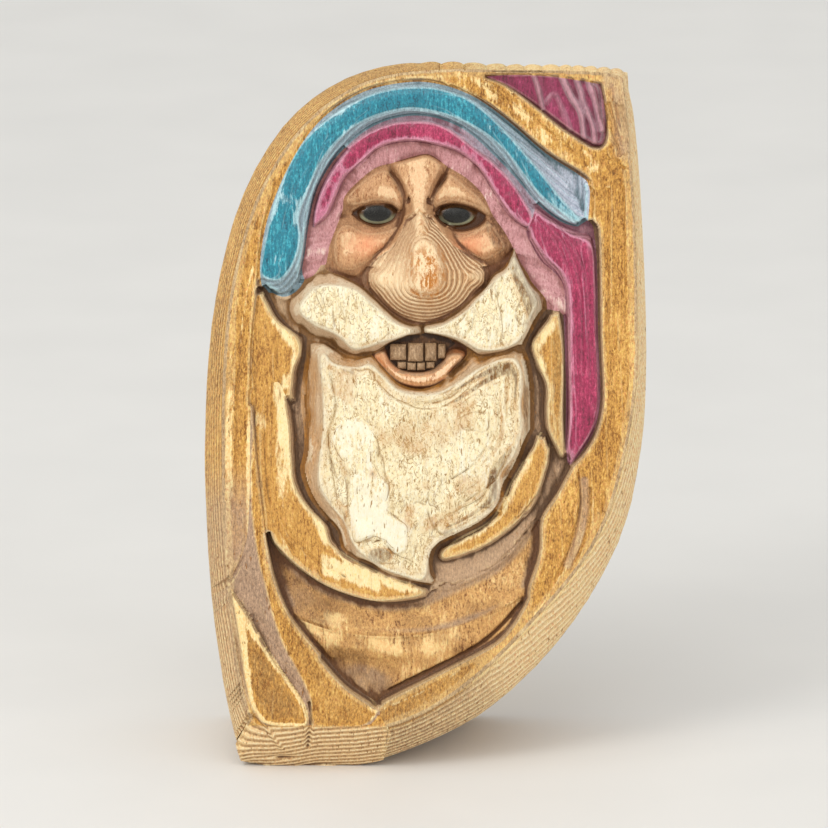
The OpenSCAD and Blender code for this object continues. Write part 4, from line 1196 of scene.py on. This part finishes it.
def wood(name, colours, ring=0.5, ridge=0.6, ragged=0.55, gloss=0.0, pores=0.5, rough=(0.5, 0.72),
         grain=1.0, frost=0.5, edge=0.25, veins=0.0, near_ring=(7.0, 2.0),
         spots_of_tint=(-0.6, 0.4, 0.6), stain_at=(0.3, 0.46, 0.54, 0.7), gritty=0.35,
         fade=(0.42, 0.62), blot=None):
    """Stained, brushed softwood.

    colours: light, mid and dark are the stain along the grain, high the bare pale wood on ridges, slope the
    stain outside the painted field and on steep falls, tint a second stain and deep the colour of the painted
    shade in the hollows and where the shade mask is strong. ring and ridge are the strength of the dark and
    pale lines of each growth ring. blot is the colour where the shade mask is faint.
    """
    light, mid, dark, high, slope, tint, deep = colours
    k = Nodes(name)
    streak = k.noise(1.5, (1, 1, 0.08), 4, 0.66, 0.3)
    fine = k.noise(4.6, (1, 1, 0.13), 3, 0.62)
    chip = k.noise(0.55, (1, 1, 0.34), 6, 0.74, 0.2)
    cloud = k.noise(0.09, (1, 1, 0.6), 3, 0.55, 0.5)
    mottle = k.noise(2.3, (1, 1, 0.5), 4, 0.75)
    grainy = k.plus(k.plus(k.times(streak, 0.6), k.times(mottle, 0.75)), k.times(cloud, 0.35))
    stain = k.ramp(k.math("MULTIPLY_ADD", grainy, 0.5, 0.5), list(zip(stain_at, (dark, mid, mid, light))))
    ragged_edge = k.times(k.plus(k.times(chip, 0.7), k.times(streak, 0.55)), ragged)
    if veins:
        vein = k.span(k.math("ABSOLUTE", k.noise(0.75, (1, 1, 0.55), 3, 0.6, 0.9)), 0.11, 0.02)
        stain = k.mix(k.times(k.times(vein, k.span(chip, -0.4, 0.3)), veins), stain, dark)
    bare_wood = k.span(k.plus(k.get("light"), ragged_edge), *fade)
    pale = k.ramp(k.math("MULTIPLY_ADD", k.plus(streak, mottle), 0.3, 0.5),
                  [(0.05, mid), (0.4, high), (1.0, high)])
    colour = k.mix(bare_wood, stain, pale)
    side = k.math("MAXIMUM", k.span(k.plus(k.get("paint"), k.times(chip, 0.35)), edge, edge - 0.6),
                  k.span(k.plus(k.get("steep"), k.times(chip, 0.25)), 0.7, 1.3))
    flat_slope = k.mix(k.span(mottle, -0.5, 0.5), k.mix(0.35, slope, deep), slope)
    colour = k.mix(k.times(side, k.span(streak, -0.8, 0.2, 0.75, 1.0)), colour, flat_slope)
    low, high_spot, least = spots_of_tint
    spots_here = k.span(k.plus(chip, k.times(mottle, 0.5)), low, high_spot, least, 1.0)
    colour = k.mix(k.times(k.get("tint"), spots_here), colour, tint)
    colour = k.mix(k.get("bare"), colour,
                   k.mix(k.span(streak, -0.5, 0.6), STRAW, k.mix(0.5, STRAW, PALE_RIDGE)))
    turn = k.math("FRACT", k.get("ring"))
    off = k.times(k.math("ABSOLUTE", k.math("SUBTRACT", turn, 0.5)), k.get("pitch"))
    near = k.span(k.get("pitch"), *near_ring, 0.1, 1.0)
    wide = k.math("MULTIPLY_ADD", k.get("bare"), -0.14, off)
    valley = k.times(k.times(k.span(k.plus(wide, k.times(fine, 0.08)), 0.4, 0.04), near),
                     k.span(streak, -0.7, 0.3, 0.3, 1.0))
    from_crest = k.math("SUBTRACT", 0.5, k.math("ABSOLUTE", k.math("SUBTRACT", turn, 0.5)))
    crest = k.times(k.span(k.times(from_crest, k.get("pitch")), 0.26, 0.08), near)
    soft = k.span(k.get("light"), 0.0, 1.0, 0.9, 0.3)
    on_bare = k.mix_number(k.get("bare"), ring, soft)
    colour = k.mix(k.times(valley, on_bare), colour, k.mix(k.get("bare"), k.mix(0.5, dark, deep), BROWN_LINE))
    colour = k.mix(k.times(crest, k.math("MULTIPLY_ADD", k.get("bare"), 0.8 - ridge, ridge)), colour,
                   k.mix(k.get("bare"), high, PALE_RIDGE))
    worn = k.plus(k.times(k.get("cav"), 1.8), k.times(k.get("dip"), 0.25))
    # Painted shade: where cav and dip are low, in the hollows, the colour goes towards deep.
    depth = k.plus(k.times(k.get("cav"), 1.4), k.times(k.get("dip"), 0.55))
    painted_hollow_shade = k.span(k.plus(depth, k.times(mottle, 0.25)), -0.35, -1.25)
    colour = k.mix(k.times(painted_hollow_shade, 0.92), colour, deep)
    shaded = k.mix(k.span(k.get("shade"), 0.55, 0.9), blot or deep, deep)
    uneven = k.span(k.plus(chip, streak), -0.6, 0.5, 0.25, 1.0)
    colour = k.mix(k.times(k.get("shade"), uneven), colour, shaded)
    crown = k.span(k.plus(worn, k.times(k.plus(streak, chip), 0.3)), 0.4, 0.75)
    colour = k.mix(k.times(crown, frost), colour, high)
    lip = k.times(k.span(k.math("ABSOLUTE", k.plus(k.get("paint"), 0.02)), 0.38, 0.12),
                  k.span(streak, -0.6, 0.2, 0.4, 1.0))
    colour = k.mix(k.times(lip, frost), colour, high)
    dots = k.times(k.span(k.noise(1.7, (1, 1, 0.22), 2, 0.55), 0.36, 0.5), pores)
    colour = k.mix(dots, colour, dark)
    grit = k.noise(2.6, (1, 1, 0.4), 3, 0.8)
    grey = k.ramp(k.math("MULTIPLY_ADD", grit, 0.8, 0.5), [(0.0, (0, 0, 0, 1)), (1.0, (1, 1, 1, 1))])
    colour = k.mix(gritty, colour, grey, "OVERLAY")
    height = k.plus(k.times(streak, 0.55 * grain), k.times(fine, 0.35 * grain))
    height = k.plus(height, k.times(k.math("SUBTRACT", crest, valley), 0.45))
    height = k.math("SUBTRACT", height, k.times(dots, 0.5))
    return k.finish(colour, k.span(streak, -0.5, 0.5, *rough), height, 0.6, 0.0003, gloss, 0.18)


# each finish: its colours light, mid, dark, high, slope, tint and deep, and its other settings
kinds = {
    "board": ([(230, 178, 98), (198, 144, 66), (140, 88, 26), (248, 216, 152), (176, 144, 116),
               (176, 144, 116), (104, 74, 50)],
        dict(ring=0.4, ridge=0.25, frost=0.25, gritty=0.7, pores=0.8, stain_at=(0.34, 0.46, 0.52, 0.66))),
    "robe": ([(232, 184, 114), (204, 154, 92), (112, 64, 22), (240, 202, 138), (160, 126, 104),
              (176, 144, 112), (96, 58, 28)],
        dict(ring=0.4, ridge=0.25, ragged=1.1, frost=0.3, fade=(0.3, 0.85), gritty=0.5)),
    "hair": ([(238, 192, 114), (206, 152, 74), (146, 94, 34), (250, 224, 166), (192, 158, 124),
              (192, 158, 124), (92, 64, 40)],
        dict(ring=0.4, ridge=0.25, ragged=0.8, frost=0.35, gritty=0.5, fade=(0.3, 0.75))),
    "cream": ([(248, 238, 204), (242, 224, 180), (158, 116, 56), (244, 236, 208), (214, 184, 146),
               (206, 174, 138), (120, 80, 34)],
        dict(ring=0.7, ridge=0.3, ragged=0.9, pores=0.9, frost=0.35, veins=0.9, near_ring=(12.0, 5.0),
             stain_at=(0.22, 0.38, 0.46, 0.6), blot=rgb(190, 124, 30))),
    "skin": ([(234, 190, 144), (208, 158, 112), (152, 96, 54), (236, 196, 150), (194, 146, 102),
              (236, 158, 112), (98, 58, 30)],
        dict(ring=0.1, ridge=0.1, pores=0.5, ragged=0.8, frost=0.25)),
    "nose": ([(236, 200, 152), (218, 176, 128), (170, 112, 60), (246, 216, 172), (216, 176, 132),
              (190, 120, 48), (128, 88, 60)],
        dict(ring=0.85, ridge=0.8, ragged=0.7, edge=-9.0, spots_of_tint=(-0.12, 0.2, 0.0),
             near_ring=(5.0, 2.0), frost=0.4)),
    "blue": ([(64, 170, 184), (14, 122, 142), (2, 76, 96), (176, 214, 220), (150, 168, 178),
              (186, 190, 204), (60, 92, 100)],
        dict(ring=0.35, ridge=0.3, pores=0.1, gloss=0.7, rough=(0.25, 0.45), frost=0.55,
             stain_at=(0.32, 0.44, 0.54, 0.68), gritty=0.5)),
    "violet": ([(196, 66, 104), (156, 30, 74), (104, 8, 42), (222, 152, 174), (190, 138, 142),
                (158, 146, 158), (110, 50, 66)],
        dict(ring=0.4, ridge=0.3, pores=0.15, gloss=0.6, rough=(0.28, 0.5), frost=0.5,
             stain_at=(0.32, 0.45, 0.53, 0.66), gritty=0.5)),
    "panel": ([(172, 66, 104), (138, 38, 74), (88, 16, 40), (206, 140, 150), (160, 120, 118),
               (172, 142, 148), (88, 34, 44)],
        dict(ring=0.3, ridge=0.2, pores=0.3, gloss=0.4, rough=(0.3, 0.5), frost=0.4)),
    "lining": ([(220, 170, 168), (202, 146, 146), (162, 108, 106), (230, 196, 184), (196, 146, 142),
                (196, 146, 142), (150, 96, 92)],
        dict(ring=0.1, ridge=0.1, pores=0.2, ragged=0.9, edge=-9.0)),
    "lip": ([(222, 172, 122), (200, 146, 96), (158, 98, 58), (246, 206, 164), (150, 104, 66),
             (204, 128, 76), (92, 54, 28)],
        dict(ring=0.1, ridge=0.1, pores=0.5, ragged=0.8, frost=0.2)),
    "teeth": ([(196, 164, 128), (160, 128, 94), (112, 82, 54), (222, 192, 150), (120, 92, 62),
               (120, 92, 62), (52, 34, 18)],
        dict(ring=0.1, ridge=0.1)),
    "dark": ([(140, 102, 70), (112, 78, 50), (70, 44, 26), (150, 112, 78), (86, 58, 38), (86, 58, 38),
              (56, 36, 22)],
        dict(ring=0.1, ridge=0.05, frost=0.1)),
}
finish_of = {n: kind for kind, nodes in {
    "board": "back_block border_left border_corner border_right hood_edge foot_ledge corner_leaf left_fold",
    "robe": "robe_fold_upper robe_fold_lower",
    "hair": "left_hair outer_beard_left right_hair outer_beard_right",
    "cream": "beard moustache_left moustache_right",
    "lip": "lower_lip",
    "teeth": "upper_teeth lower_teeth",
    "dark": "mouth_floor",
    "nose": "nose",
    "skin": "forehead brow_left brow_right cheek_left cheek_right",
    "lining": "hood_lining",
    "blue": "hat_band",
    "violet": "hat_brim hat_tail",
    "panel": "corner_panel",
}.items() for n in nodes.split()}


def eye_material():
    """Glossy near-black eyes with a thin grey-green lower rim."""
    k = Nodes("painted_eye")
    speck = k.noise(3.0, (1, 1, 1), 4, 0.7)
    lower = k.span(k.get("tint"), -0.2, 0.7)
    dark = k.span(k.plus(k.get("paint"), k.times(speck, 0.12)), 0.25, 0.75)
    rim = k.mix(lower, rgb(84, 56, 32), rgb(146, 146, 118))
    rim = k.mix(k.span(k.get("paint"), 0.05, -0.15), rim, rgb(78, 48, 26))
    colour = k.mix(dark, rim, k.mix(k.span(speck, 0.0, 0.6), rgb(26, 24, 20), rgb(52, 52, 44)))
    return k.finish(colour, k.span(speck, -0.5, 0.5, 0.14, 0.34), speck, 0.15, 0.0002, 0.15, 0.15, 0.3)


materials = {key: wood("stained_" + key, [rgb(*c) for c in colours], **more)
             for key, (colours, more) in kinds.items()}
materials["eye"] = eye_material()

made = {n: build(n) for n in names}
made["back_block"] = build_back()
# each tooth: left, right, bottom and top on the face, and the height of its front
teeth = {"upper_teeth": [(-9.0, -5.0, 103.2, 107.2, -2.1), (-4.5, -0.7, 102.9, 107.5, -1.9),
                         (-0.2, 2.6, 103.0, 107.5, -2.0), (3.0, 4.9, 103.6, 107.2, -2.3)],
         "lower_teeth": [(-7.2, -4.9, 100.9, 102.8, -2.7), (-4.7, -2.5, 100.6, 102.6, -2.5),
                         (-2.3, -0.2, 100.6, 102.6, -2.5), (0.0, 2.2, 101.0, 102.8, -2.7)]}
made.update({n: build_teeth(n, row) for n, row in teeth.items()})
for n, ob in made.items():
    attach(ob, "root")
    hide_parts(n)
    ob.data.materials.append(materials["eye" if n.startswith("eye") else finish_of[n]])

# ------------------------------------------------------------------ floor, light and camera

me = bpy.data.meshes.new("floor")
reach, cells = 3.0, 12
steps = np.linspace(-reach, reach, cells + 1)
me.from_pydata([(x, y, 0) for y in steps for x in steps], [],
               [(r * (cells + 1) + c, r * (cells + 1) + c + 1, (r + 1) * (cells + 1) + c + 1,
                 (r + 1) * (cells + 1) + c) for r in range(cells) for c in range(cells)])
floor = bpy.data.objects.new("floor", me)
bpy.context.scene.collection.objects.link(floor)
k = Nodes("pale_floor")
speck = k.noise(0.02, (1, 1, 1), 3, 0.5)
me.materials.append(k.finish(k.ramp(k.math("MULTIPLY_ADD", speck, 0.5, 0.5),
                                    [(0.0, rgb(228, 226, 221)), (1.0, rgb(234, 232, 227))]),
                             k.span(speck, -0.5, 0.5, 0.6, 0.75), speck, 0.05, 0.0002, 0.0, 0.3, 0.3))


def light(kind, name, place, way, power, colour):
    data = bpy.data.lights.new(name, kind)
    data.energy, data.color = power, colour
    ob = bpy.data.objects.new(name, data)
    ob.location = place
    ob.rotation_mode = "QUATERNION"
    ob.rotation_quaternion = Vector(way).to_track_quat("-Z", "Y")
    bpy.context.scene.collection.objects.link(ob)
    return data


light("SUN", "key", (0, 0, 1), (0.4, 0.78, -0.95), 0.96, (1.0, 0.985, 0.96)).angle = math.radians(68)
for name, place, height, size, power, colour in (
        ("gloss", (-0.5, -0.55, 0.75), 0.12, 0.35, 2.2, (1.0, 1.0, 1.0)),
        ("fill", (0.9, -0.9, 0.5), 0.09, 1.0, 3.4, (0.97, 0.98, 1.0))):
    data = light("AREA", name, place, Vector((0, 0, height)) - Vector(place), power, colour)
    data.shape, data.size = "DISK", size
world = bpy.data.worlds.new("studio")
world.use_nodes = True
world.node_tree.nodes["Background"].inputs[0].default_value = (0.93, 0.94, 0.95, 1)
world.node_tree.nodes["Background"].inputs[1].default_value = 0.69
bpy.context.scene.world = world

cam = bpy.data.cameras.new("camera")
cam.sensor_width, cam.lens = 36, 300
FRAME_WIDTH = 0.207                     # metres across the picture at the face of the carving
away = FRAME_WIDTH * cam.lens / cam.sensor_width
aim = Vector(to_row(np.array([-3.0]), np.array([89.9]), np.array([0.0]))[0])
camera = bpy.data.objects.new("camera", cam)
line = Vector((0, -math.cos(SLOPE), math.sin(SLOPE)))
camera.location = aim + line * away
camera.rotation_mode = "QUATERNION"
camera.rotation_quaternion = (-line).to_track_quat("-Z", "Y")
bpy.context.scene.collection.objects.link(camera)
bpy.context.scene.camera = camera
bpy.context.scene.view_settings.view_transform = "Standard"
